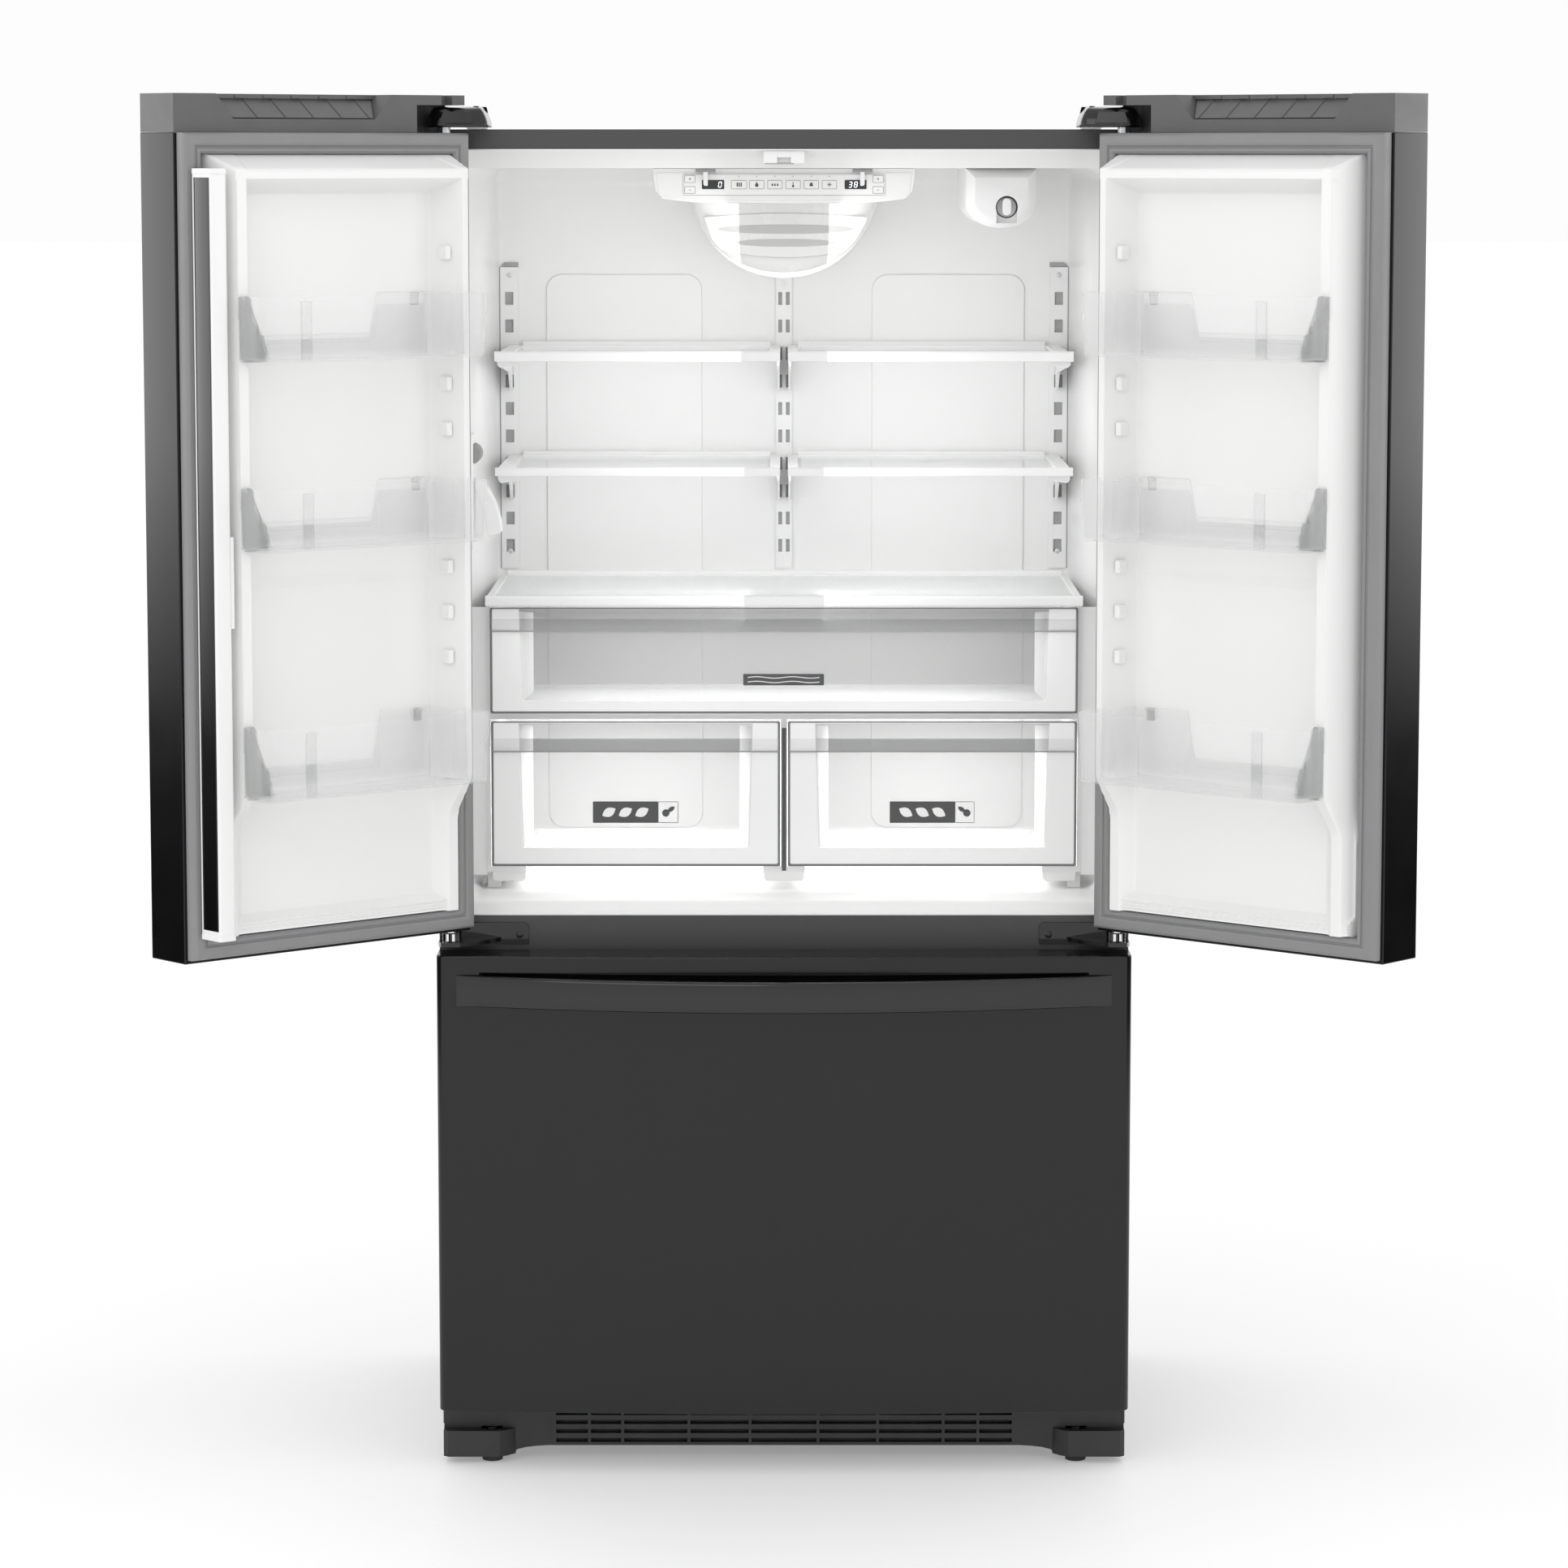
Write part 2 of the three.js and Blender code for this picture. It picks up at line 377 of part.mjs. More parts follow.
const doorPanel = (() => {
  let s = prism("z", DOOR_Z0, DOOR_Z1, slabOutline(W0, FREE_X, true, false));
  // pocket swept by the fixed hinge cover as the door turns
  const clear = [[59, -17], [59, 98], [17, 98], [17, 34], [10, 26], ...arc(0, 0, 27, 74, 296, 10), [42, -23]];
  for (let k = 0; k <= 10; k++)
    s = cut(s, turned(prism("z", CAB_H - 1.5, CAB_H + 33, at(clear, -PIN_X, PIN_Y)), -PIN_X, PIN_Y, DOOR_OPEN * k / 10));
  // notch above the pocket
  s = cut(s, box(W0 + 20, W0 + 37, T0 - 14, T0 + 5, CAB_H + 30, DOOR_Z1 + 5));
  s = cut(s, cyl("z", CAB_H - 20, CAB_H + 5, -PIN_X, PIN_Y, BORE_R, 20), cyl("z", DOOR_Z0 - 5, DOOR_Z0 + 22, -PIN_X, PIN_Y, BORE_R, 20));
  // recess in the top cap's inner face, open at the top
  s = cut(s, prism("y", T0 - 34, T0 + 5, [[W0 + 142, 1765], [W0 + 360, 1765], [W0 + 392, 1800], [W0 + 110, 1800]]));
  return s;
})();

const frameRing = (x0, x1, z0, z1, inX0, inX1, inZ0, inZ1) =>
  prism("y", T0 + GAP, -0.5, [[x0, z0], [x1, z0], [x1, z1], [x0, z1]], [[inX0, inZ0], [inX0, inZ1], [inX1, inZ1], [inX1, inZ0]]);
const doorGasket = (() => {
  const g = frameRing(W0 + 4, W0 + 445.5, 720.5, 1747, W0 + 31, W0 + 418.6, 745.7, 1725);
  return cut(g, prism("z", 700, 1760, [[W0 + 3.5, -3.0], [W0 + 17.5, -0.6], [W0 + 17.5, 2], [W0 + 3.5, 2]]));
})();

const doorLiner = (() => {
  const y = (t) => T0 + t;
  const planP = [[32, 0.3], [40, 58], [397, 58], [412, 0.3]].map(([w, t]) => [W0 + w, y(t)]).reverse();
  const sideP = [[0.3, 746], [20, 748], [21, 866], [26, 884], [36, 900], [50, 912], [58, 930], [58, 1701], [0.3, 1724]].map(([t, z]) => [y(t), z]);
  let s = both(prism("z", 740, 1730, planP), prism("x", W0, 0, sideP));
  const pan = [[50, 60], [66, 6], [366, 6], [382, 60]].map(([w, t]) => [W0 + w, y(t)]);
  s = cut(s, both(prism("z", 764, 1692, pan), prism("x", W0, 0, [[6, 764], [62, 764], [62, 1692], [12, 1682], [6, 1674]].map(([t, z]) => [y(t), z]))));
  return s;
})();

const doorBin = ([z0, z1]) => {
  const y = (t) => T0 + t;
  const P = (pts) => pts.map(([w, t]) => [W0 + w, y(t)]);
  const outer = P([[70, 8], [362, 8], [362, 61], [402, 61], [402, 108], [394, 116], [58, 116], [50, 108], [50, 61], [70, 61]]);
  const inner = P([[73, 11], [359, 11], [359, 64], [399, 64], [399, 107], [393, 113], [59, 113], [53, 107], [53, 64], [73, 64]]);
  let s = cut(prism("z", z0, z1, outer), prism("z", z0 + 3, z1 + 5, inner));
  // the wall towards the door is low except at the hinge end
  return cut(s, box(W0 + 170, W0 + 355, y(0), y(13), z0 + 28, z1 + 5));
};

const doorHandle = (() => {
  const zc = 1256, h = 450, x0 = -79, x1 = -37, base = faceY(-37) - 0.35;
  const pts = [];
  for (let i = 0; i <= 16; i++) { const t = -1 + i / 8; pts.push([base - 46 * (1 - t * t) - 1.5, zc + h * t]); }
  const inner = [];
  for (let i = 0; i <= 14; i++) { const t = 1 - i / 7; inner.push([base - 34 * (1 - t * t), zc + (h - 42) * t]); }
  return prism("x", x0, x1, [[base, zc - h], ...pts, [base, zc + h], ...inner]);
})();

function doorGroup(sign) {
  const g = new THREE.Group();
  g.position.set(sign * PIN_X, PIN_Y, 0);
  g.rotation.z = THREE.MathUtils.degToRad(sign * DOOR_OPEN);
  assembly.add(g);
  return g;
}
{
  const L = doorGroup(-1), R = doorGroup(1);
  const pair = (part, solid, material) => {
    add(L, `left_${part}`, toGeometry(solid), material, -PIN_X, PIN_Y);
    add(R, `right_${part}`, mirrored(toGeometry(solid)), material, PIN_X, PIN_Y);
  };
  pair("door_panel", doorPanel, M.black);
  pair("door_liner", doorLiner, M.white);
  pair("door_gasket", doorGasket, M.gasket);
  pair("door_handle", doorHandle, M.black);
  ["upper_bin", "middle_bin", "lower_bin"].forEach((n, i) => pair(n, doorBin(BIN_LEVELS[i]), M.clear));
  // folding mullion on the left door, folded back
  const flap = cut(prism("z", 750, 1703, [[W0 + 413.5, 0.3], [W0 + 436, 0.3], [W0 + 437.2, 1.0], [W0 + 437.9, 2.2], [W0 + 438, 3.25], [W0 + 438, 38], [W0 + 434, 42], [W0 + 416, 42], [W0 + 413.5, 39]]),
    box(W0 + 400, W0 + 415.5, 8, 34, 1010, 1110));
  add(L, "mullion_flap", toGeometry(flap), M.white, -PIN_X, PIN_Y);
}

// ---------------------------------------------------------------- freezer drawer
{
  let p = prism("z", FRZ_Z0, FRZ_Z1, slabOutline(-HX, HX, true, true));
  // hand recess behind the handle
  p = cut(p, prism("z", 620, 664, [[-404, -130], [404, -130], [396, -68], [-396, -68]]));
  // raised pad inside the gasket
  p = join(p, box(-410, 410, T0 - 1, T0 + 12, 112, 652));
  add(assembly, "freezer_panel", p, M.black);
  add(assembly, "freezer_gasket", frameRing(-446, 446, 84, 683, -419, 419, 104, 660), M.gasket);
  const out = [], inn = [];
  for (let i = 0; i <= 20; i++) { const x = -426 + 42.6 * i; const u = x / 426; out.push([x, faceY(x) - 1.5 - 47.5 * (1 - u * u)]); }
  for (let i = 0; i <= 16; i++) { const x = 392 - 49 * i; const u = x / 392; inn.push([x, faceY(x) - 0.35 - 35 * (1 - u * u)]); }
  const foot = (s) => [[s * 426, faceY(426) - 0.35], [s * 409, faceY(409) - 0.35]];
  add(assembly, "freezer_handle", prism("z", 620, 661, [...out, ...foot(1), ...inn, ...foot(-1).reverse()]), M.black);
  // tub with side rails
  let b = cut(box(-392, 392, T0 + 12.4, 366, 118, 470), prism("x", -388, 388, [[T0 + 17, 122], [356, 122], [362, 480], [T0 + 17, 480]]));
  b = join(b, box(-410, -391, 10, 366, 300, 314), box(391, 410, 10, 366, 300, 314));
  add(assembly, "freezer_basket", b, M.white);
}

const refrigerator = new THREE.Group();
refrigerator.name = "refrigerator";
assembly.position.set(0, -ORIGIN_Y, 0);
refrigerator.add(assembly);
refrigerator.updateMatrixWorld(true);
export default refrigerator;
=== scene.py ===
# Looks of the french door refrigerator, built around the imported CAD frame.
# Lengths in the builders are millimetres in the planning frame (Y = 0 is the cabinet's front face);
# P() turns them into metres in the row frame.
import bpy, bmesh, math, json
from mathutils import Vector, Matrix

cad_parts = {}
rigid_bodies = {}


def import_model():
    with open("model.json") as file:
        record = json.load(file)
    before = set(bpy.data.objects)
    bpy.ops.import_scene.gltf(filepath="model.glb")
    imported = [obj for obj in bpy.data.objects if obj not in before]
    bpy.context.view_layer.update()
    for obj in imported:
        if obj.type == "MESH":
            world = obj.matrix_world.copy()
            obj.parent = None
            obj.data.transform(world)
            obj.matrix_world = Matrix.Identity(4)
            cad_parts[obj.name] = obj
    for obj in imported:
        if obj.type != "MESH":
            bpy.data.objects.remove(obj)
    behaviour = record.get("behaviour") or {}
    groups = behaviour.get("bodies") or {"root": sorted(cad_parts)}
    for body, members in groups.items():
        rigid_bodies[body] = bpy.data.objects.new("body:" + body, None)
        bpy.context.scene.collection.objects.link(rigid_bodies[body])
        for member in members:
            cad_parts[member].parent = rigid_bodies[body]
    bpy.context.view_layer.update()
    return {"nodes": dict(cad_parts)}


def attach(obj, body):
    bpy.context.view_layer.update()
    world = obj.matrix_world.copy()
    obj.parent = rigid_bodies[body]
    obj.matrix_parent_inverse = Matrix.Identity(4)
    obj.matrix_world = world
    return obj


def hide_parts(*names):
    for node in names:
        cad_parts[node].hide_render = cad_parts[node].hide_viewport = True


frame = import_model()

OY = 118.17
PIN_X, PIN_Y, OPEN = 435.0, -40.0, math.radians(139.0)
HX = 452.5
W0 = -HX
FREE = W0 + 449.5
T0 = -20.0
BOW, OUT = 20.0, -74.0

def P(x, y, z):
    return Vector((x / 1000.0, (y - OY) / 1000.0, z / 1000.0))

def door_point(x, y, z, right=False):
    dx, dy = x + PIN_X, y - PIN_Y
    c, s = math.cos(-OPEN), math.sin(-OPEN)
    X, Y = -PIN_X + dx * c - dy * s, PIN_Y + dx * s + dy * c
    return P(-X if right else X, Y, z)

SPACES = {
    "cab": (lambda x, y, z: P(x, y, z), False),
    "mir": (lambda x, y, z: P(-x, y, z), True),
    "L": (lambda x, y, z: door_point(x, y, z), False),
    "R": (lambda x, y, z: door_point(x, y, z, True), True),
}

# ---------------------------------------------------------------- materials
def new_mat(name, color, rough=0.4, metal=0.0, coat=0.0, coat_rough=0.05, ior=1.5,
            bump=0.0, bump_scale=200.0, detail=3.0, rough_var=0.0, rough_scale=30.0,
            col_var=0.0, col_scale=12.0, col2=None, alpha=None, trans=0.0, emit=None, emit_strength=0.0, wear=0.0,
            stretch=(1, 1, 1), voronoi=False):
    m = bpy.data.materials.new(name)
    m.use_nodes = True
    nt = m.node_tree
    N, L = nt.nodes, nt.links
    for n in list(N):
        N.remove(n)
    out = N.new("ShaderNodeOutputMaterial")
    b = N.new("ShaderNodeBsdfPrincipled")
    L.new(b.outputs["BSDF"], out.inputs["Surface"])
    b.inputs["Base Color"].default_value = (*color, 1)
    b.inputs["Roughness"].default_value = rough
    b.inputs["Metallic"].default_value = metal
    b.inputs["IOR"].default_value = ior
    b.inputs["Coat Weight"].default_value = coat
    b.inputs["Coat Roughness"].default_value = coat_rough
    b.inputs["Transmission Weight"].default_value = trans
    if alpha is not None:
        b.inputs["Alpha"].default_value = alpha
    if emit is not None:
        b.inputs["Emission Color"].default_value = (*emit, 1)
        b.inputs["Emission Strength"].default_value = emit_strength
    tc = N.new("ShaderNodeTexCoord")
    mp = N.new("ShaderNodeMapping")
    mp.inputs["Scale"].default_value = stretch
    L.new(tc.outputs["Object"], mp.inputs["Vector"])
    if col_var or col2:
        n1 = N.new("ShaderNodeTexNoise")
        n1.inputs["Scale"].default_value = col_scale
        n1.inputs["Detail"].default_value = 4
        L.new(mp.outputs["Vector"], n1.inputs["Vector"])
        mix = N.new("ShaderNodeMix")
        mix.data_type = "RGBA"
        c2 = col2 if col2 else tuple(max(0.0, c * (1 - col_var)) for c in color)
        mix.inputs["A"].default_value = (*color, 1)
        mix.inputs["B"].default_value = (*c2, 1)
        L.new(n1.outputs["Fac"], mix.inputs["Factor"])
        L.new(mix.outputs["Result"], b.inputs["Base Color"])
    if rough_var:
        n2 = N.new("ShaderNodeTexNoise")
        n2.inputs["Scale"].default_value = rough_scale
        n2.inputs["Detail"].default_value = 5
        L.new(mp.outputs["Vector"], n2.inputs["Vector"])
        mr = N.new("ShaderNodeMapRange")
        mr.inputs["From Min"].default_value = 0.3
        mr.inputs["From Max"].default_value = 0.7
        mr.inputs["To Min"].default_value = max(0.0, rough - rough_var)
        mr.inputs["To Max"].default_value = min(1.0, rough + rough_var)
        L.new(n2.outputs["Fac"], mr.inputs["Value"])
        L.new(mr.outputs["Result"], b.inputs["Roughness"])
    if bump:
        if voronoi:
            n3 = N.new("ShaderNodeTexVoronoi")
            n3.inputs["Scale"].default_value = bump_scale
            L.new(mp.outputs["Vector"], n3.inputs["Vector"])
            src = n3.outputs["Distance"]
        else:
            n3 = N.new("ShaderNodeTexNoise")
            n3.inputs["Scale"].default_value = bump_scale
            n3.inputs["Detail"].default_value = detail
            L.new(mp.outputs["Vector"], n3.inputs["Vector"])
            src = n3.outputs["Fac"]
        bp = N.new("ShaderNodeBump")
        bp.inputs["Strength"].default_value = bump
        bp.inputs["Distance"].default_value = 0.001
        L.new(src, bp.inputs["Height"])
        L.new(bp.outputs["Normal"], b.inputs["Normal"])
    return m

def clear_mat(name, color, base_alpha, edge_alpha, rough=0.12, bump=0.0, bump_scale=600, voronoi=False):
    """Thin clear plastic or glass: see-through face on, denser at grazing angles."""
    m = bpy.data.materials.new(name)
    m.use_nodes = True
    nt = m.node_tree
    N, L = nt.nodes, nt.links
    b = N["Principled BSDF"]
    b.inputs["Base Color"].default_value = (*color, 1)
    b.inputs["Roughness"].default_value = rough
    b.inputs["IOR"].default_value = 1.49
    lw = N.new("ShaderNodeLayerWeight")
    lw.inputs["Blend"].default_value = 0.35
    mr = N.new("ShaderNodeMapRange")
    mr.inputs["From Min"].default_value = 0.0
    mr.inputs["From Max"].default_value = 1.0
    mr.inputs["To Min"].default_value = base_alpha
    mr.inputs["To Max"].default_value = edge_alpha
    L.new(lw.outputs["Facing"], mr.inputs["Value"])
    L.new(mr.outputs["Result"], b.inputs["Alpha"])
    tc = N.new("ShaderNodeTexCoord")
    if bump:
        if voronoi:
            n3 = N.new("ShaderNodeTexVoronoi")
            src = n3.outputs["Distance"]
        else:
            n3 = N.new("ShaderNodeTexNoise")
            src = n3.outputs["Fac"]
        n3.inputs["Scale"].default_value = bump_scale
        L.new(tc.outputs["Object"], n3.inputs["Vector"])
        bp = N.new("ShaderNodeBump")
        bp.inputs["Strength"].default_value = bump
        bp.inputs["Distance"].default_value = 0.0006
        L.new(src, bp.inputs["Height"])
        L.new(bp.outputs["Normal"], b.inputs["Normal"])
    return m

MAT = {
    "door_black": new_mat("door_black", (0.005, 0.005, 0.0055), rough=0.14, bump=0.012, bump_scale=420, rough_var=0.03, rough_scale=14, ior=1.44),
    "gloss_black": new_mat("gloss_black", (0.005, 0.005, 0.0055), rough=0.10, coat=0.15, coat_rough=0.03, bump=0.01, bump_scale=420, rough_var=0.02, rough_scale=20),
    "shell": new_mat("shell_paint", (0.050, 0.050, 0.052), rough=0.36, coat=0.1, coat_rough=0.2, bump=0.12, bump_scale=900, rough_var=0.03, rough_scale=25, col_var=0.03),
    # door caps: the door's black lifted to dark grey, painted light standing in for the light falling on the caps
    "cap": new_mat("cap_black_painted_light", (0.10, 0.10, 0.102), rough=0.42, bump=0.12, bump_scale=1400, detail=2, rough_var=0.05, col_var=0.10, col_scale=40),
    "gasket": new_mat("gasket_rubber", (0.25, 0.25, 0.255), rough=0.52, bump=0.08, bump_scale=700, rough_var=0.08, col_var=0.08, col_scale=18),
    "liner": new_mat("liner_white", (0.86, 0.86, 0.855), rough=0.32, bump=0.012, bump_scale=1500, detail=1, rough_var=0.02, rough_scale=40, col_var=0.006, col_scale=40),
    "white": new_mat("white_plastic", (0.87, 0.87, 0.868), rough=0.32, bump=0.03, bump_scale=1500, detail=1, rough_var=0.03, rough_scale=70, col_var=0.01, col_scale=60),
    "white_matte": new_mat("white_matte", (0.84, 0.84, 0.835), rough=0.5, bump=0.1, bump_scale=1200, rough_var=0.05, col_var=0.02, col_scale=20),
    "clear": clear_mat("clear_plastic", (0.88, 0.885, 0.885), 0.045, 0.5, rough=0.10, bump=0.006, bump_scale=900),
    "clear_dense": clear_mat("clear_plastic_dense", (0.80, 0.805, 0.805), 0.17, 0.7, rough=0.14, bump=0.006, bump_scale=900),
    "glass": clear_mat("shelf_glass", (0.80, 0.82, 0.82), 0.08, 0.5, rough=0.05, bump=0.01, bump_scale=20),
    "glass_dots": clear_mat("patterned_glass", (0.90, 0.91, 0.91), 0.35, 0.8, rough=0.2, bump=0.6, bump_scale=260, voronoi=True),
    "steel": new_mat("zinc_steel", (0.62, 0.63, 0.64), rough=0.30, metal=1.0, bump=0.06, bump_scale=300, rough_var=0.08, rough_scale=60, stretch=(1, 1, 8)),
    "pin": new_mat("pin_steel", (0.75, 0.75, 0.76), rough=0.18, metal=1.0, bump=0.02, bump_scale=400, rough_var=0.05),
    "dark": new_mat("dark_plastic", (0.022, 0.022, 0.023), rough=0.42, bump=0.15, bump_scale=1300, rough_var=0.06, col_var=0.2, col_scale=30),
    "rubber": new_mat("foot_rubber", (0.03, 0.03, 0.03), rough=0.75, bump=0.2, bump_scale=600, rough_var=0.08),
    "overlay": new_mat("overlay_film", (0.86, 0.86, 0.855), rough=0.32, bump=0.03, bump_scale=1500, rough_var=0.04),
    "window": new_mat("window_black", (0.006, 0.006, 0.007), rough=0.08, coat=0.5, bump=0.01, bump_scale=60, rough_var=0.02),
    "digit": new_mat("digit_glow", (0.9, 0.95, 1.0), rough=0.4, emit=(0.85, 0.95, 1.0), emit_strength=1.6, bump=0.02, bump_scale=900),
    "ink": new_mat("print_grey", (0.07, 0.07, 0.073), rough=0.55, bump=0.03, bump_scale=900, rough_var=0.05),
    "plate": new_mat("plate_grey", (0.07, 0.07, 0.073), rough=0.4, bump=0.03, bump_scale=900, rough_var=0.05),
    # grey for painted shade: plates behind the rail slots and under the guide block
    "slot": new_mat("slot_shadow", (0.40, 0.40, 0.40), rough=0.7, bump=0.1, bump_scale=500, col_var=0.08),
    "foam": new_mat("foam", (0.62, 0.52, 0.28), rough=0.9, bump=0.5, bump_scale=260, col_var=0.2, col_scale=30),
    "copper": new_mat("copper", (0.72, 0.36, 0.2), rough=0.28, metal=1.0, bump=0.05, bump_scale=300, rough_var=0.1),
    "black_paint": new_mat("black_paint", (0.018, 0.018, 0.019), rough=0.35, coat=0.2, bump=0.08, bump_scale=500, rough_var=0.08, col_var=0.15),
    "lens": new_mat("light_lens", (0.86, 0.86, 0.85), rough=0.25, emit=(1.0, 0.99, 0.97), emit_strength=0.03, bump=0.05, bump_scale=300, rough_var=0.05),
}

MAT["cap_grey"] = new_mat("cap_grey", (0.60, 0.60, 0.60), rough=0.4, bump=0.05, bump_scale=1200, rough_var=0.04)
MAT["trim_grey"] = new_mat("trim_grey", (0.16, 0.16, 0.163), rough=0.5, bump=0.04, bump_scale=700, rough_var=0.05)
MAT["pillar_shade"] = new_mat("pillar_shade", (0.12, 0.12, 0.122), rough=0.6, bump=0.04, bump_scale=700, rough_var=0.05)
MAT["grey_edge"] = new_mat("grey_edge", (0.30, 0.30, 0.305), rough=0.5, bump=0.04, bump_scale=700, rough_var=0.05)

# ---------------------------------------------------------------- mesh helpers
def mark_sharp(me, angle):
    bm = bmesh.new(); bm.from_mesh(me)
    lim = math.radians(angle)
    for e in bm.edges:
        if len(e.link_faces) == 2:
            e.smooth = e.calc_face_angle(0.0) < lim
        else:
            e.smooth = False
    for f in bm.faces:
        f.smooth = True
    bm.to_mesh(me); bm.free()

def build(name, vf, mat, body, space="cab", bevel=0.0, seg=3, limit=30, sharp=32, sub=0,
          replaces=(), slot=None, solid=None, closed=True, weld=True):
    fn, flip = SPACES[space]
    verts, faces = vf
    me = bpy.data.meshes.new(name)
    me.from_pydata([fn(*v) for v in verts], [], [tuple(reversed(f)) if flip else tuple(f) for f in faces])
    me.validate()
    bm = bmesh.new(); bm.from_mesh(me)
    if weld:
        bmesh.ops.remove_doubles(bm, verts=bm.verts, dist=2e-6)
    if closed:
        bmesh.ops.recalc_face_normals(bm, faces=bm.faces)
    bm.to_mesh(me); bm.free()
    mark_sharp(me, sharp)
    o = bpy.data.objects.new(name, me)
    bpy.context.collection.objects.link(o)
    me.materials.append(MAT[mat] if isinstance(mat, str) else mat)
    if solid:
        s = o.modifiers.new("solid", "SOLIDIFY"); s.thickness = solid / 1000.0; s.offset = 1.0; s.use_even_offset = True
    if bevel:
        b = o.modifiers.new("bevel", "BEVEL")
        b.width = bevel / 1000.0; b.segments = seg; b.limit_method = "ANGLE"; b.angle_limit = math.radians(limit)
        b.harden_normals = True; b.miter_outer = "MITER_ARC"
    if sub:
        s = o.modifiers.new("sub", "SUBSURF"); s.levels = sub; s.render_levels = sub
    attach(o, body)
    if replaces:
        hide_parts(*([replaces] if isinstance(replaces, str) else replaces))
    return o

def join_vf(*items):
    V, F = [], []
    for v, f in items:
        n = len(V); V += list(v); F += [tuple(i + n for i in q) for q in f]
    return V, F

def box(x0, x1, y0, y1, z0, z1):
    v = [(x, y, z) for z in (z0, z1) for y in (y0, y1) for x in (x0, x1)]
    return v, [(0, 2, 3, 1), (4, 5, 7, 6), (0, 1, 5, 4), (2, 6, 7, 3), (0, 4, 6, 2), (1, 3, 7, 5)]

def prism(axis, a, b, pts):
    n = len(pts)
    def put(u, v, w):
        return {"z": (u, v, w), "x": (w, u, v), "y": (u, w, v)}[axis]
    V = [put(u, v, a) for u, v in pts] + [put(u, v, b) for u, v in pts]
    F = [tuple(range(n)), tuple(range(2 * n - 1, n - 1, -1))]
    F += [(i, (i + 1) % n, n + (i + 1) % n, n + i) for i in range(n)]
    return V, F

def cyl(axis, a, b, u, v, r, n=28, r2=None):
    r2 = r if r2 is None else r2
    p0 = [(u + r * math.cos(2 * math.pi * i / n), v + r * math.sin(2 * math.pi * i / n)) for i in range(n)]
    p1 = [(u + r2 * math.cos(2 * math.pi * i / n), v + r2 * math.sin(2 * math.pi * i / n)) for i in range(n)]
    def put(q, w):
        return {"z": (q[0], q[1], w), "x": (w, q[0], q[1]), "y": (q[0], w, q[1])}[axis]
    V = [put(q, a) for q in p0] + [put(q, b) for q in p1]
    return V, [tuple(range(n)), tuple(range(2 * n - 1, n - 1, -1))] + [(i, (i + 1) % n, n + (i + 1) % n, n + i) for i in range(n)]

def loft(rings, cap=True, loop=False):
    n = len(rings[0]); V = [p for r in rings for p in r]; F = []
    m = len(rings)
    for k in range(m if loop else m - 1):
        a, b = k * n, ((k + 1) % m) * n
        F += [(a + i, a + (i + 1) % n, b + (i + 1) % n, b + i) for i in range(n)]
    if cap and not loop:
        F += [tuple(range(n - 1, -1, -1)), tuple(range((m - 1) * n, m * n))]
    return V, F

def arc(cx, cy, r, a0, a1, n):
    return [(cx + r * math.cos(math.radians(a0 + (a1 - a0) * i / n)), cy + r * math.sin(math.radians(a0 + (a1 - a0) * i / n))) for i in range(n + 1)]

def rrect(x0, x1, y0, y1, r, n=5):
    r = min(r, (x1 - x0) / 2 - 1e-6, (y1 - y0) / 2 - 1e-6)
    return (arc(x1 - r, y0 + r, r, -90, 0, n) + arc(x1 - r, y1 - r, r, 0, 90, n)
            + arc(x0 + r, y1 - r, r, 90, 180, n) + arc(x0 + r, y0 + r, r, 180, 270, n))

def round_poly(pts, radii, n=5):
    """Rounds the corners of a closed outline."""
    out = []
    m = len(pts)
    for i in range(m):
        p0, p, p1 = Vector(pts[i - 1]), Vector(pts[i]), Vector(pts[(i + 1) % m])
        r = radii[i] if isinstance(radii, (list, tuple)) else radii
        if r <= 0:
            out.append(tuple(p)); continue
        a, b = (p0 - p).normalized(), (p1 - p).normalized()
        d = min(r, (p0 - p).length * 0.49, (p1 - p).length * 0.49)
        s, e = p + a * d, p + b * d
        for k in range(n + 1):
            t = k / n
            q = s * (1 - t) ** 2 + p * 2 * t * (1 - t) + e * t ** 2
            out.append(tuple(q))
    return out

def rounded_ring_profile(rect, profile, put):
    """A closed frame: profile points are (inset, height) swept round a rectangle (u0, u1, v0, v1)."""
    u0, u1, v0, v1 = rect
    rings = []
    for d, h in profile:
        rings.append([put(u0 + d, v0 + d, h), put(u1 - d, v0 + d, h), put(u1 - d, v1 - d, h), put(u0 + d, v1 - d, h)])
    return loft(rings, cap=False, loop=True)

def smax(a, b, k):
    h = max(0.0, min(1.0, 0.5 + 0.5 * (a - b) / k))
    return b * (1 - h) + a * h + k * h * (1 - h)
def smin(a, b, k):
    return -smax(-a, -b, k)
def step(a, b, x):
    t = max(0.0, min(1.0, (x - a) / (b - a)))
    return t * t * (3 - 2 * t)
def ramp(a, b, x, ya, yb):
    t = (x - a) / (b - a)
    return ya + (yb - ya) * max(0.0, min(1.0, t))

def boolean(o, cutter_vf, space="cab", op="DIFFERENCE", self_cut=False):
    fn, flip = SPACES[space]
    v, f = cutter_vf
    me = bpy.data.meshes.new("cutter")
    me.from_pydata([fn(*p) for p in v], [], [tuple(reversed(q)) if flip else tuple(q) for q in f])
    bm = bmesh.new(); bm.from_mesh(me); bmesh.ops.recalc_face_normals(bm, faces=bm.faces); bm.to_mesh(me); bm.free()
    c = bpy.data.objects.new("cutter", me)
    bpy.context.collection.objects.link(c)
    bpy.context.view_layer.update()
    mod = o.modifiers.new("bool", "BOOLEAN")
    mod.operation = op; mod.solver = "EXACT"; mod.object = c; mod.use_self = self_cut
    apply_all(o)
    bpy.data.objects.remove(c)
    bpy.data.meshes.remove(me)

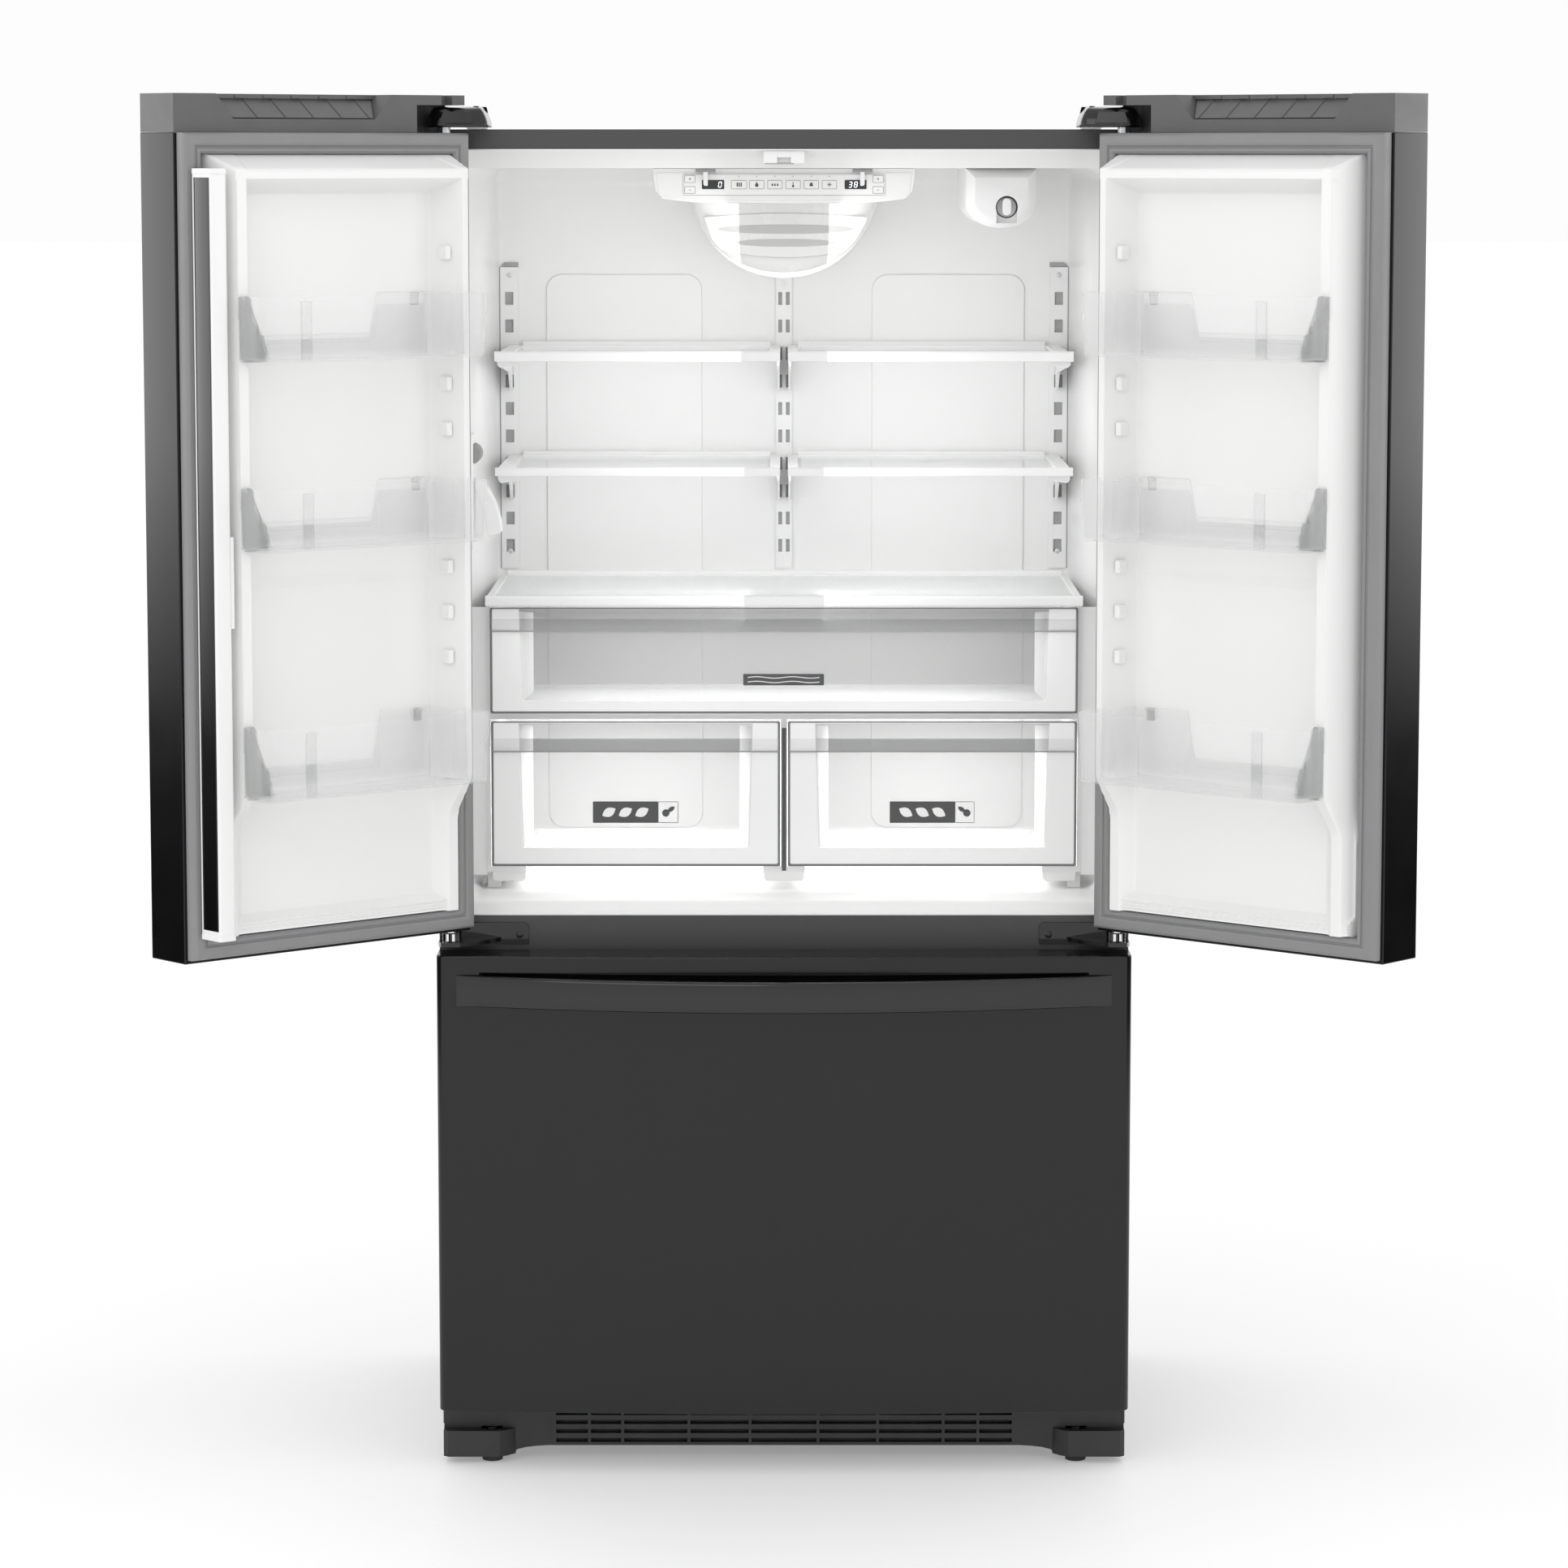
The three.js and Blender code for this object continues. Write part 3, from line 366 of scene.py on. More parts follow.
def apply_all(o):
    bpy.context.view_layer.update()
    dg = bpy.context.evaluated_depsgraph_get()
    me = bpy.data.meshes.new_from_object(o.evaluated_get(dg), preserve_all_data_layers=True, depsgraph=dg)
    old = o.data
    o.modifiers.clear()
    o.data = me
    if old.users == 0:
        bpy.data.meshes.remove(old)

def finish_mesh(o, sharp=32, dissolve=True, bevel=0, seg=2, limit=30):
    me = o.data
    bm = bmesh.new(); bm.from_mesh(me)
    bmesh.ops.remove_doubles(bm, verts=bm.verts, dist=2e-6)
    if dissolve:
        bmesh.ops.dissolve_limit(bm, angle_limit=math.radians(0.8), verts=bm.verts, edges=bm.edges)
    bmesh.ops.recalc_face_normals(bm, faces=bm.faces)
    bm.to_mesh(me); bm.free()
    mark_sharp(me, sharp)
    if bevel:
        b = o.modifiers.new("bevel", "BEVEL")
        b.width = bevel / 1000.0; b.segments = seg; b.limit_method = "ANGLE"; b.angle_limit = math.radians(limit)
        b.harden_normals = True

def from_cad(node, mat, body, bevel=0.8, seg=2, sharp=32, name=None, limit=30):
    """The CAD node's own shape, cleaned and with its edges broken."""
    src = frame["nodes"][node]
    me = src.data.copy()
    me.name = name or node + "_finished"
    if "custom_normal" in me.attributes:
        me.attributes.remove(me.attributes["custom_normal"])
    o = bpy.data.objects.new(name or node + "_finished", me)
    bpy.context.collection.objects.link(o)
    me.materials.clear()
    me.materials.append(MAT[mat])
    finish_mesh(o, sharp=sharp, bevel=bevel, seg=seg, limit=limit)
    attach(o, body)
    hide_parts(node)
    return o

def pair(name, vf, mat, space="door", **kw):
    """The same piece on the left and, mirrored, on the right."""
    reps = kw.pop("replaces", None)
    out = []
    for side, sp, body in (("left", "L", "left_door"), ("right", "R", "right_door")) if space == "door" else (("left", "cab", "cabinet"), ("right", "mir", "cabinet")):
        kk = dict(kw)
        if reps:
            kk["replaces"] = side + "_" + reps
        out.append(build(f"{side}_{name}", vf, mat, body, sp, **kk))
    return out

def tube(name, pts, r, mat, body, space="cab", cyclic=False, res=4):
    fn, _ = SPACES[space]
    cu = bpy.data.curves.new(name, "CURVE"); cu.dimensions = "3D"
    sp = cu.splines.new("POLY"); sp.points.add(len(pts) - 1)
    for i, p in enumerate(pts):
        sp.points[i].co = (*fn(*p), 1)
    sp.use_cyclic_u = cyclic
    cu.bevel_depth = r / 1000.0; cu.bevel_resolution = res; cu.use_fill_caps = True
    tmp = bpy.data.objects.new(name + "_c", cu)
    bpy.context.collection.objects.link(tmp)
    bpy.context.view_layer.update()
    me = bpy.data.meshes.new_from_object(tmp.evaluated_get(bpy.context.evaluated_depsgraph_get()))
    me.name = name
    o = bpy.data.objects.new(name, me)
    bpy.context.collection.objects.link(o)
    bpy.data.objects.remove(tmp)
    me.materials.clear(); me.materials.append(MAT[mat])
    mark_sharp(me, 40)
    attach(o, body)
    return o

def screw_head(x, y, z, axis="y", r=4.2, out=-1, h=1.8):
    """Pan head with a cross recess: a short dome with a cross-shaped dip."""
    n = 24
    rings = []
    for rr, hh in ((r, 0.0), (r, h * 0.45), (r * 0.82, h * 0.85), (r * 0.5, h), (r * 0.28, h * 0.98), (r * 0.16, h * 0.45)):
        ring = []
        for i in range(n):
            a = 2 * math.pi * i / n
            k = rr
            if rr <= r * 0.5:
                k = rr * (1.25 if (i % 6) in (0, 5, 1) else 0.7)
            u, w = k * math.cos(a), k * math.sin(a)
            if axis == "y":
                ring.append((x + u, y + out * hh, z + w))
            elif axis == "z":
                ring.append((x + u, y + w, z + out * hh))
            else:
                ring.append((x + out * hh, y + u, z + w))
        rings.append(ring)
    return loft(rings)

def outline_normals(pts):
    n = len(pts); out = []
    area = sum(pts[i][0] * pts[(i + 1) % n][1] - pts[(i + 1) % n][0] * pts[i][1] for i in range(n))
    s = 1.0 if area > 0 else -1.0
    for i in range(n):
        a, b, c = Vector(pts[i - 1]), Vector(pts[i]), Vector(pts[(i + 1) % n])
        e1, e2 = (b - a), (c - b)
        e1 = e1.normalized() if e1.length > 1e-9 else e2.normalized()
        e2 = e2.normalized() if e2.length > 1e-9 else e1
        n1, n2 = Vector((-e1.y, e1.x)) * s, Vector((-e2.y, e2.x)) * s
        m = (n1 + n2)
        m = m.normalized() if m.length > 1e-6 else n1
        k = max(0.5, m.dot(n1))
        out.append(m / k)
    return out

def inset(pts, d):
    nn = outline_normals(pts)
    return [(p[0] + v.x * d, p[1] + v.y * d) for p, v in zip(pts, nn)]

# ---------------------------------------------------------------- cabinet
from_cad("cabinet_shell", "shell", "cabinet", bevel=0.9)
from_cad("freezer_liner", "liner", "cabinet", bevel=0.8)
from_cad("base_pan", "steel", "cabinet", bevel=0.6)
from_cad("compressor", "black_paint", "cabinet", bevel=1.5, sharp=40)
from_cad("condenser_coil", "black_paint", "cabinet", bevel=1.0)
from_cad("machine_cover", "dark", "cabinet", bevel=0.5)
from_cad("condenser_fan", "dark", "condenser_fan", bevel=0.5)
fo = frame["nodes"]["insulation_foam"]
fo.data.materials.clear(); fo.data.materials.append(MAT["foam"])

def tub_ring(y, n=6):
    x = 423.5 - 22.0 * y / 560.0
    zb = 730 + 14 * step(9, 25, y)
    zt = 1725 - 23 * max(0.0, min(1.0, (y - 31.0) / 15.0))
    r = 3 + 17 * step(20, 70, y)
    return x, zb, zt, r

rings = []
for y in [0.3, 4, 9, 12, 15, 18, 21, 25, 29, 31, 33, 36, 41, 44, 46, 48, 55, 70, 100, 160, 240, 320, 400, 470, 520, 536]:
    x, zb, zt, r = tub_ring(y)
    rings.append([(u, y, v) for u, v in rrect(-x, x, zb, zt, r, 6)])
x, zb, zt, r = tub_ring(536)
for y, dt, db, ds in ((540, 0.8, 5.2, 0.3), (544, 4.4, 9.4, 0.6), (548, 8.6, 13.8, 0.9), (552, 12.8, 18.2, 1.3), (555.5, 17, 22, 2.0), (558, 20.5, 25, 3.2), (559.5, 24.5, 28.5, 5.0), (560, 29, 33, 8.0)):
    xx = 423.5 - 22.0 * y / 560.0 - ds
    rings.append([(u, y, v) for u, v in rrect(-xx, xx, zb + db, zt - dt, 20 if y < 556 else 14, 6)])
v, f = loft(rings, cap=False)
n = len(rings[0])
f.append(tuple(range((len(rings) - 1) * n, len(rings) * n)))
o = build("fresh_food_tub", (v, f), "liner", "cabinet", closed=False, solid=1.7, sharp=50, replaces="fresh_food_liner", slot="liner_white")
o.modifiers["solid"].offset = -1.0

# embossed fields on the rear wall and soft ribs on the side walls
for nm, x0, x1 in (("left", -333, -115), ("right", 123, 337)):
    build(f"{nm}_rear_emboss", prism("y", 557.2, 560.4, rrect(x0, x1, 772, 1553, 22, 8)), "liner", "cabinet", bevel=2.2, seg=4, slot="liner_white")
for sp, nm in (("cab", "left"), ("mir", "right")):
    for j, (z0, z1) in enumerate(((1140, 1150), (985, 993))):
        V = []
        pts = [(118, 421.0), (500, 405.6)]
        vv = []
        for (y, x) in pts:
            vv += [(-x + 1.6, y, z0), (-x + 1.6, y, z1), (-x - 4.4, y, z1 + 1), (-x - 4.4, y, z0 - 1)]
        ff = [(0, 1, 2, 3), (7, 6, 5, 4), (0, 4, 5, 1), (1, 5, 6, 2), (2, 6, 7, 3), (3, 7, 4, 0)]
        build(f"{nm}_wall_rail_{j+1}", (vv, ff), "liner", "cabinet", space=sp, bevel=1.5, slot="liner_white")

# ---------------------------------------------------------------- base
from_cad("base_grille", "dark", "cabinet", bevel=0.9, seg=2, limit=40)
for nm, sp in (("left", "cab"), ("right", "mir")):
    from_cad(f"{nm}_leveling_leg", "rubber", "cabinet", bevel=1.2)
    from_cad(f"{nm}_rear_roller", "dark", f"{nm}_rear_roller", bevel=1.0)
    build(f"{nm}_grille_screw", screw_head(-336, -14, 70, r=5.0, h=2.0), "gloss_black", "cabinet", space=sp)
    # dark screen behind the louvres
build("grille_screen", box(-306, 306, -3.6, -2.2, 21, 70), "rubber", "cabinet", bevel=0.3, slot="dark_parts")

# ---------------------------------------------------------------- hinges
cover_plan = [(56, -14), (56, 96), (20, 96), (20, 33), (12, 22.5)] + arc(0, 0, 24, 74, 296, 18) + [(40, -19)]
cover_plan = round_poly([(x - PIN_X, y + PIN_Y) for x, y in cover_plan], [7, 6, 6, 3] + [0] * 19 + [0, 7], 4)
def cover_ring(d, z, slope=0.0):
    out = []
    for x, y in inset(cover_plan, d):
        k = step(-20, -66, y) if y < -20 else 0.0
        out.append((x, y, z - slope * k))
    return out
cvr = loft([cover_ring(1.0, 1754.4), cover_ring(0.0, 1755.6), cover_ring(0.4, 1759), cover_ring(1.8, 1764.5), cover_ring(3.6, 1769.5, 0.5), cover_ring(5.6, 1774, 1.5), cover_ring(7.6, 1777.6, 2.5), cover_ring(9.8, 1780.0, 3.5), cover_ring(12.5, 1781.0, 4.0)])
for nm, sp in (("left", "cab"), ("right", "mir")):
    build(f"{nm}_hinge_cap", cvr, "gloss_black", "cabinet", space=sp, sharp=55, replaces=f"{nm}_hinge_cover", slot="gloss_black")
    facet = [(-440.5, 1759.2), (-397, 1759.2), (-401.5, 1774.5), (-436, 1774.5)]
    V = [(x, -64.6 + (x + 440) * 0.085 + (z - 1759) * 0.28, z) for x, z in facet] + [(x, -58 + (z - 1759) * 0.28, z) for x, z in facet]
    build(f"{nm}_hinge_cap_face", (V, [(0, 1, 2, 3), (7, 6, 5, 4)] + [(i, (i + 1) % 4, 4 + (i + 1) % 4, 4 + i) for i in range(4)]), "gloss_black", "cabinet", space=sp, bevel=1.0, seg=3)
    from_cad(f"{nm}_top_hinge", "steel", "cabinet", bevel=0.6)
    from_cad(f"{nm}_center_hinge", "gloss_black", "cabinet", bevel=0.7)
    build(f"{nm}_pin_collar", prism("z", 700.1, 711.2, arc(-PIN_X, PIN_Y, 11.2, 0, 300, 5)), "pin", "cabinet", space=sp, bevel=0.9)
    build(f"{nm}_pin_sleeve", cyl("z", 711.0, 731.5, -PIN_X, PIN_Y, 7.7, 36), "pin", "cabinet", space=sp, bevel=0.8)
    for j, sx in enumerate((-347,)):
        build(f"{nm}_hinge_screw_{j+1}", screw_head(sx, -3.4, 703, r=4.6), "gloss_black", "cabinet", space=sp)
    build(f"{nm}_cover_screw", screw_head(-399, 34, 1780.6, axis="z", out=1, r=4.2, h=1.6), "gloss_black", "cabinet", space=sp)

# ---------------------------------------------------------------- doors
def face_y(x):
    return OUT - BOW * (1 - (x / HX) ** 2)

def slab(x0, x1, left_round, right_round, n=36, er=12.0, edge=3.0):
    pts = [(x0, T0)]
    if left_round:
        pts += arc(x0 + er, face_y(x0 + er) + er, er, 180, 270, 8)
    else:
        pts += [(x0, face_y(x0) + edge), (x0 + edge, face_y(x0 + edge))]
    a, b = x0 + (er if left_round else edge), x1 - (er if right_round else edge)
    pts += [(a + (b - a) * i / n, face_y(a + (b - a) * i / n)) for i in range(1, n)]
    if right_round:
        pts += arc(x1 - er, face_y(x1 - er) + er, er, 270, 360, 8)
    else:
        pts += arc(x1 - edge, face_y(x1 - edge) + edge, edge, 270, 360, 4)
    pts += [(x1, T0)]
    return pts

pair("door_skin", prism("z", 715.4, 1746.8, slab(W0, FREE, True, False)), "door_black", bevel=1.4, seg=3, sharp=28, replaces="door_panel", slot="door_black")
# no boring for the lower pin is cut: this loop changes nothing
for o in (bpy.data.objects["left_door_skin"], bpy.data.objects["right_door_skin"]):
    pass

# top cap of the door: recess with ribs, and the pocket that the hinge cover fits
def cap_cutters():
    clear = [(59, -17), (59, 98), (17, 98), (17, 34), (10, 26)] + arc(0, 0, 27, 74, 296, 12) + [(42, -23)]
    out = []
    for k in range(0, 13):
        a = math.radians(139.0 * k / 12)
        c, s = math.cos(a), math.sin(a)
        out.append(prism("z", 1745.0, 1782.2, [(x * c - y * s - PIN_X, x * s + y * c + PIN_Y) for x, y in clear]))
    return out

for side, sp, body in (("left", "L", "left_door"), ("right", "R", "right_door")):
    o = build(f"{side}_door_cap", prism("z", 1747.2, 1794.8, slab(W0 + 0.3, FREE - 0.3, True, False)), "cap", body, space=sp, slot="door_black")
    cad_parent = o.parent
    # cut before finishing: the piece sits at the origin, so cutters are in the row frame
    boolean(o, prism("y", T0 - 36, T0 + 5, [(W0 + 142, 1764), (W0 + 360, 1764), (W0 + 392, 1802), (W0 + 110, 1802)]), sp)
    for c in cap_cutters():
        boolean(o, c, sp)
    boolean(o, box(W0 + 20, W0 + 37, T0 - 14, T0 + 5, 1781, 1800), sp)
    finish_mesh(o, sharp=28, bevel=0.8, seg=2, limit=35)
    ribs = []
    V = [(W0 + x, T0 + t, z) for x, t, z in ((143.5, -34.5, 1765.2), (358.5, -34.5, 1765.2), (143.5, -1.5, 1765.2), (358.5, -1.5, 1765.2), (123.5, -34.5, 1788), (378.5, -34.5, 1788))]
    build(f"{side}_cap_slope", (V, [(2, 3, 5, 4), (0, 4, 5, 1), (0, 1, 3, 2), (0, 2, 4), (1, 5, 3)]), "cap", body, space=sp, bevel=0.4, slot="door_black")
    for w in (150, 193, 236, 279, 322):
        ribs.append(prism("x", W0 + w - 0.6, W0 + w + 0.6, [(T0 - 34.4, 1787.0), (T0 - 1.8, 1765.0), (T0 - 1.8, 1766.6), (T0 - 34.4, 1789.2)]))
        ribs.append(box(W0 + w - 1, W0 + w + 13, T0 - 34, T0 - 31.6, 1789.4, 1793.6))
    build(f"{side}_cap_ribs", join_vf(*ribs), "cap", body, space=sp, bevel=0.6, slot="door_black")
    build(f"{side}_cap_ledge", box(W0 + 112, W0 + 389, T0 - 35.8, T0 - 33, 1789, 1794.4), "cap", body, space=sp, bevel=0.6, slot="door_black")

gprof = [(0, 0.4), (0, 9), (1.2, 14), (4, 17.0), (8, 18.0), (13, 18.4), (16, 17.2), (17.0, 15.2), (18.6, 15.2), (19.6, 17.0), (23, 17.6), (26, 15), (27, 10), (27, 0.4)]
pair("door_seal", rounded_ring_profile((W0 + 4, W0 + 445.5, 720.5, 1747), gprof, lambda u, v, h: (u, T0 + h, v)), "gasket", sharp=40, bevel=0.5, seg=2, replaces="door_gasket", slot="gasket_grey")
# profile for a thin bright track that the gasket is pressed into; no piece is built from it
tprof = [(28.0, 0.35), (28.0, 4.5), (30.6, 4.5), (30.6, 0.35)]

def liner_t(w, z):
    H = 20 + 38 * step(866, 934, z)
    pan = 3.0 + 3.0 * step(1180, 1192, z)
    sh = min(ramp(32, 32 + 8 * H / 58, w, 0.3, H), ramp(50, 66, w, H, pan)) if w < 200 else pan
    sf = min(ramp(366, 382, w, pan, H), ramp(397, 411.7, w, H, 0.3)) if w > 200 else pan
    t = smax(sh, sf, 4)
    t = smax(t, pan, 4)
    top = min(ramp(1724, 1701, z, 0.3, 58), ramp(1690, 1672, z, 58, pan))
    t = smax(t, top, 5)
    if z < 790:
        ridge = 1.3 * math.cos((z - 749) / 13 * 3 * 2 * math.pi) if 749 < z < 763 else 0.0
        bot = min(ramp(746, 748.5, z, 0.3, 18 + ridge), ramp(763, 774, z, 18 + ridge, pan))
        t = smax(t, bot, 2)
    ow = min(ramp(32, 40, w, 0.3, 62), ramp(397, 411.7, w, 62, 0.3))
    oz = min(ramp(1724, 1701, z, 0.3, 62), ramp(746, 749, z, 0.3, 62))
    t = smin(t, ow, 3) if ow > 0.8 else ow
    t = smin(t, oz, 3) if oz > 0.8 else oz
    return max(0.3, min(58.0, t))

def spans(*parts):
    out = []
    for a, b, d in parts:
        m = max(1, round((b - a) / d))
        out += [a + (b - a) * i / m for i in range(m)]
    return out + [parts[-1][1]]

ws = spans((32, 70, 1.6), (70, 360, 24), (360, 411.7, 1.7))
zs = spans((746, 776, 1.5), (776, 860, 21), (860, 940, 5), (940, 1170, 46), (1170, 1200, 3), (1200, 1660, 46), (1660, 1724, 1.6))
V, F = [], []
for z in zs:
    for w in ws:
        V.append((W0 + w, T0 + liner_t(w, z), z))
nw, nz = len(ws), len(zs)
for j in range(nz - 1):
    for i in range(nw - 1):
        F.append((j * nw + i, j * nw + i + 1, (j + 1) * nw + i + 1, (j + 1) * nw + i))
rim = [i for i in range(nw)] + [j * nw + nw - 1 for j in range(1, nz)] + [(nz - 1) * nw + i for i in range(nw - 2, -1, -1)] + [j * nw for j in range(nz - 2, 0, -1)]
F.append(tuple(rim))
pair("door_inner", (V, F), "liner", sharp=48, replaces="door_liner", slot="liner_white")

bosses = []
for z in (1596, 1430, 1372, 1196, 1138, 1080):
    bosses.append(box(W0 + 56, W0 + 65, T0 + 26, T0 + 44, z - 9, z + 9))
pair("liner_bosses", join_vf(*bosses), "liner", bevel=3.0, seg=4, slot="liner_white")

def bin_vf(z0, z1):
    pl = round_poly([(70, 8), (362, 8), (362, 61), (402, 61), (402, 116), (50, 116), (50, 61), (70, 61)], [5, 5, 4, 5, 16, 16, 5, 4], 5)
    dense = []
    for k, q in enumerate(pl):
        r = pl[(k + 1) % len(pl)]
        dense.append(q)
        if q[1] < 9 and r[1] < 9 and abs(q[0] - r[0]) > 100:
            dense += [(w, 8.0) for w in [110, 130, 146, 148.5, 151, 154, 157, 160, 163, 167, 175, 230, 290, 340, 347, 350, 353, 355]]
        elif 60 < q[1] < 62 and 60 < r[1] < 62 and q[0] > 300:
            dense += [(w, 61.0) for w in (368, 371, 374, 377, 380, 384)]
    pl = [(W0 + w, T0 + t) for w, t in dense]
    def top(x, y):
        w, t = x - W0, y - T0
        if t < 62 and w > 100:
            return z1 - (z1 - z0 - 30) * step(148, 163, w) * (1 - step(364, 384, w))
        return z1
    tops = [top(x, y) for x, y in pl]
    def ring(d, k, dz=0.0):
        return [(x, y, z0 + dz + (zt - z0) * k) for (x, y), zt in zip(inset(pl, d), tops)]
    return loft([ring(6.5, 0, 0.2), ring(4.2, 0, 1.0), ring(3.0, 0, 4.0), ring(1.6, 0.62), ring(0.3, 0.66), ring(0, 0.97), ring(0.5, 1.0), ring(2.0, 1.0), ring(2.5, 0.97),
                 ring(2.8, 0.66), ring(4.1, 0.62), ring(5.4, 0, 6.0), ring(8.0, 0, 3.2)])

for nm, (z0, z1) in (("upper", (1466, 1547)), ("middle", (1233, 1311)), ("lower", (924, 1015))):
    pair(f"{nm}_door_bin", bin_vf(z0, z1), "clear", sharp=40, replaces=f"{nm}_bin", slot="clear_plastic")
    clip = box(W0 + 328, W0 + 343, T0 + 113.2, T0 + 117.6, z0 + 3, z1 - 6)
    pair(f"{nm}_bin_divider", clip, "clear_dense", bevel=0.8, slot="clear_plastic")
    hook = prism("x", W0 + 84, W0 + 96, [(T0 + 7.0, z1 - 1), (T0 + 12.5, z1 - 1), (T0 + 12.5, z1 - 4), (T0 + 10, z1 - 6), (T0 + 10, z1 - 16), (T0 + 7.0, z1 - 18)])
    pair(f"{nm}_bin_hook", hook, "clear_dense", bevel=0.8, slot="clear_plastic")

# handles
def strap(length_axis):
    rings = []
    m = 56
    for i in range(m + 1):
        s = -1 + 2 * i / m
        base = face_y(-37) - 0.35
        yo = base - 1.6 - 45.9 * (1 - s * s) ** 0.92
        si = s / 0.907
        yi = base if abs(si) >= 1 else base - 34 * (1 - si * si)
        r = min(5.0, (yi - yo) / 2 - 0.15)
        r = max(r, 0.4)
        rings.append([(x, y, 1256 + 450 * s) for x, y in rrect(-79, -37, yo, yi, r, 4)])
    return loft(rings)
pair("door_pull", strap("z"), "gloss_black", sharp=60, replaces="door_handle", slot="gloss_black")

# folding mullion
fl = round_poly([(W0 + 413.5, 0.5), (W0 + 438, 0.5), (W0 + 438, 41), (W0 + 413.5, 41)], [2, 3.2, 4, 4], 5)
build("mullion_body", prism("z", 755, 1698, fl), "white", "mullion_flap", space="L", sharp=40, bevel=0.6, replaces="mullion_flap", slot="white_plastic")
build("mullion_strip", prism("z", 762, 1692, rrect(W0 + 437.0, W0 + 438.6, 5.5, 37, 0.7, 3)), "gloss_black", "mullion_flap", space="L", bevel=0.3, slot="gloss_black")
build("mullion_latch", box(W0 + 408.6, W0 + 413.8, 22, 40, 1138, 1252), "white", "mullion_flap", space="L", bevel=1.4, seg=3, slot="white_plastic")
build("mullion_strip_gap", box(W0 + 437.4, W0 + 438.15, 36.6, 38.2, 762, 1692), "window", "mullion_flap", space="L")
fe = round_poly([(W0 + 413.2, 0.6), (W0 + 438.8, 0.6), (W0 + 438.8, 42), (W0 + 413.2, 42)], [2, 3.4, 4, 4], 5)
for j, (z0, z1) in enumerate(((749.5, 757), (1696, 1703.2))):
    build(f"mullion_end_{j+1}", prism("z", z0, z1, fe), "white", "mullion_flap", space="L", sharp=40, bevel=1.0, slot="white_plastic")
for j, z in enumerate((800, 1228, 1650)):
    build(f"mullion_bracket_{j+1}", box(W0 + 404, W0 + 412.9, T0 + 14, T0 + 30, z - 16, z + 16), "white", "left_door", space="L", bevel=1.6, slot="white_plastic")

# ---------------------------------------------------------------- freezer drawer
def fz_outline():
    return slab(-HX, HX, True, True, n=64)
o = build("freezer_front", prism("z", 81, 686, fz_outline()), "door_black", "freezer_drawer", slot="door_black", replaces="freezer_panel")
boolean(o, prism("z", 621, 663, [(-402, -130), (402, -130), (394, -68), (-394, -68)]))
finish_mesh(o, sharp=28, bevel=2.0, seg=3, limit=35)
build("freezer_pad", prism("y", T0 - 0.5, T0 + 12, rrect(-410, 410, 112, 652, 14, 6)), "liner", "freezer_drawer", bevel=3, seg=4, slot="liner_white")
build("freezer_seal", rounded_ring_profile((-446, 446, 84, 683), gprof, lambda u, v, h: (u, T0 + h, v)), "gasket", "freezer_drawer", sharp=40, bevel=0.5, replaces="freezer_gasket", slot="gasket_grey")
rings = []
m = 72
for i in range(m + 1):
    s = -1 + 2 * i / m
    x = 426 * s
    yo = face_y(x) - 1.6 - 47.4 * (1 - s * s) ** 0.95
    si = x / 392.0
    yi = face_y(x) - 0.35 if abs(si) >= 1 else face_y(x) - 0.35 - 35 * (1 - si * si)
    r = max(0.4, min(5.0, (yi - yo) / 2 - 0.15))
    rings.append([(x, u, v) for u, v in rrect(yo, yi, 620, 661, r, 4)])
build("freezer_pull", loft(rings), "gloss_black", "freezer_drawer", sharp=60, replaces="freezer_handle", slot="gloss_black")
from_cad("freezer_basket", "white", "freezer_drawer", bevel=1.2, seg=3)

# ---------------------------------------------------------------- control housing and panel
def hz(x, k=0.0):
    """Lower edge of the control housing."""
    t = abs(x) / 168.0
    return 1656.0 + 1.5 * t + 6.5 * max(0.0, t - 0.55) ** 2 / 0.2 + k

def housing_ring(y, d, drop=0.0):
    pts = []
    xb = 171.6 - d
    bot = [(-xb + 4.5 + 3.0, hz(xb) + 3.2 + d), (-xb + 12, hz(xb - 12) + d)]
    n = 20
    for i in range(n + 1):
        x = -xb + 18 + (2 * xb - 36) * i / n
        bot.append((x, hz(x) + d + drop))
    bot += [(xb - 12, hz(xb - 12) + d), (xb - 7.5, hz(xb) + 3.2 + d)]
    side_r = [(xb - 3.6, 1672), (xb - 0.8, 1690), (xb, 1701.6)]
    side_l = [(-xb, 1701.6), (-xb + 0.8, 1690), (-xb + 3.6, 1672)]
    pts = side_l + bot + side_r
    return [(x, y, z) for x, z in pts]

build("control_body", loft([housing_ring(71.6, 2.0), housing_ring(70.4, 1.0), housing_ring(70.2, 0.9), housing_ring(71.5, 0.2), housing_ring(75, 0.0), housing_ring(120, 0.0), housing_ring(200, 1.5), housing_ring(206, 3.0)][2:]),
      "white", "cabinet", sharp=45, bevel=0.5, replaces="control_housing", slot="white_plastic")
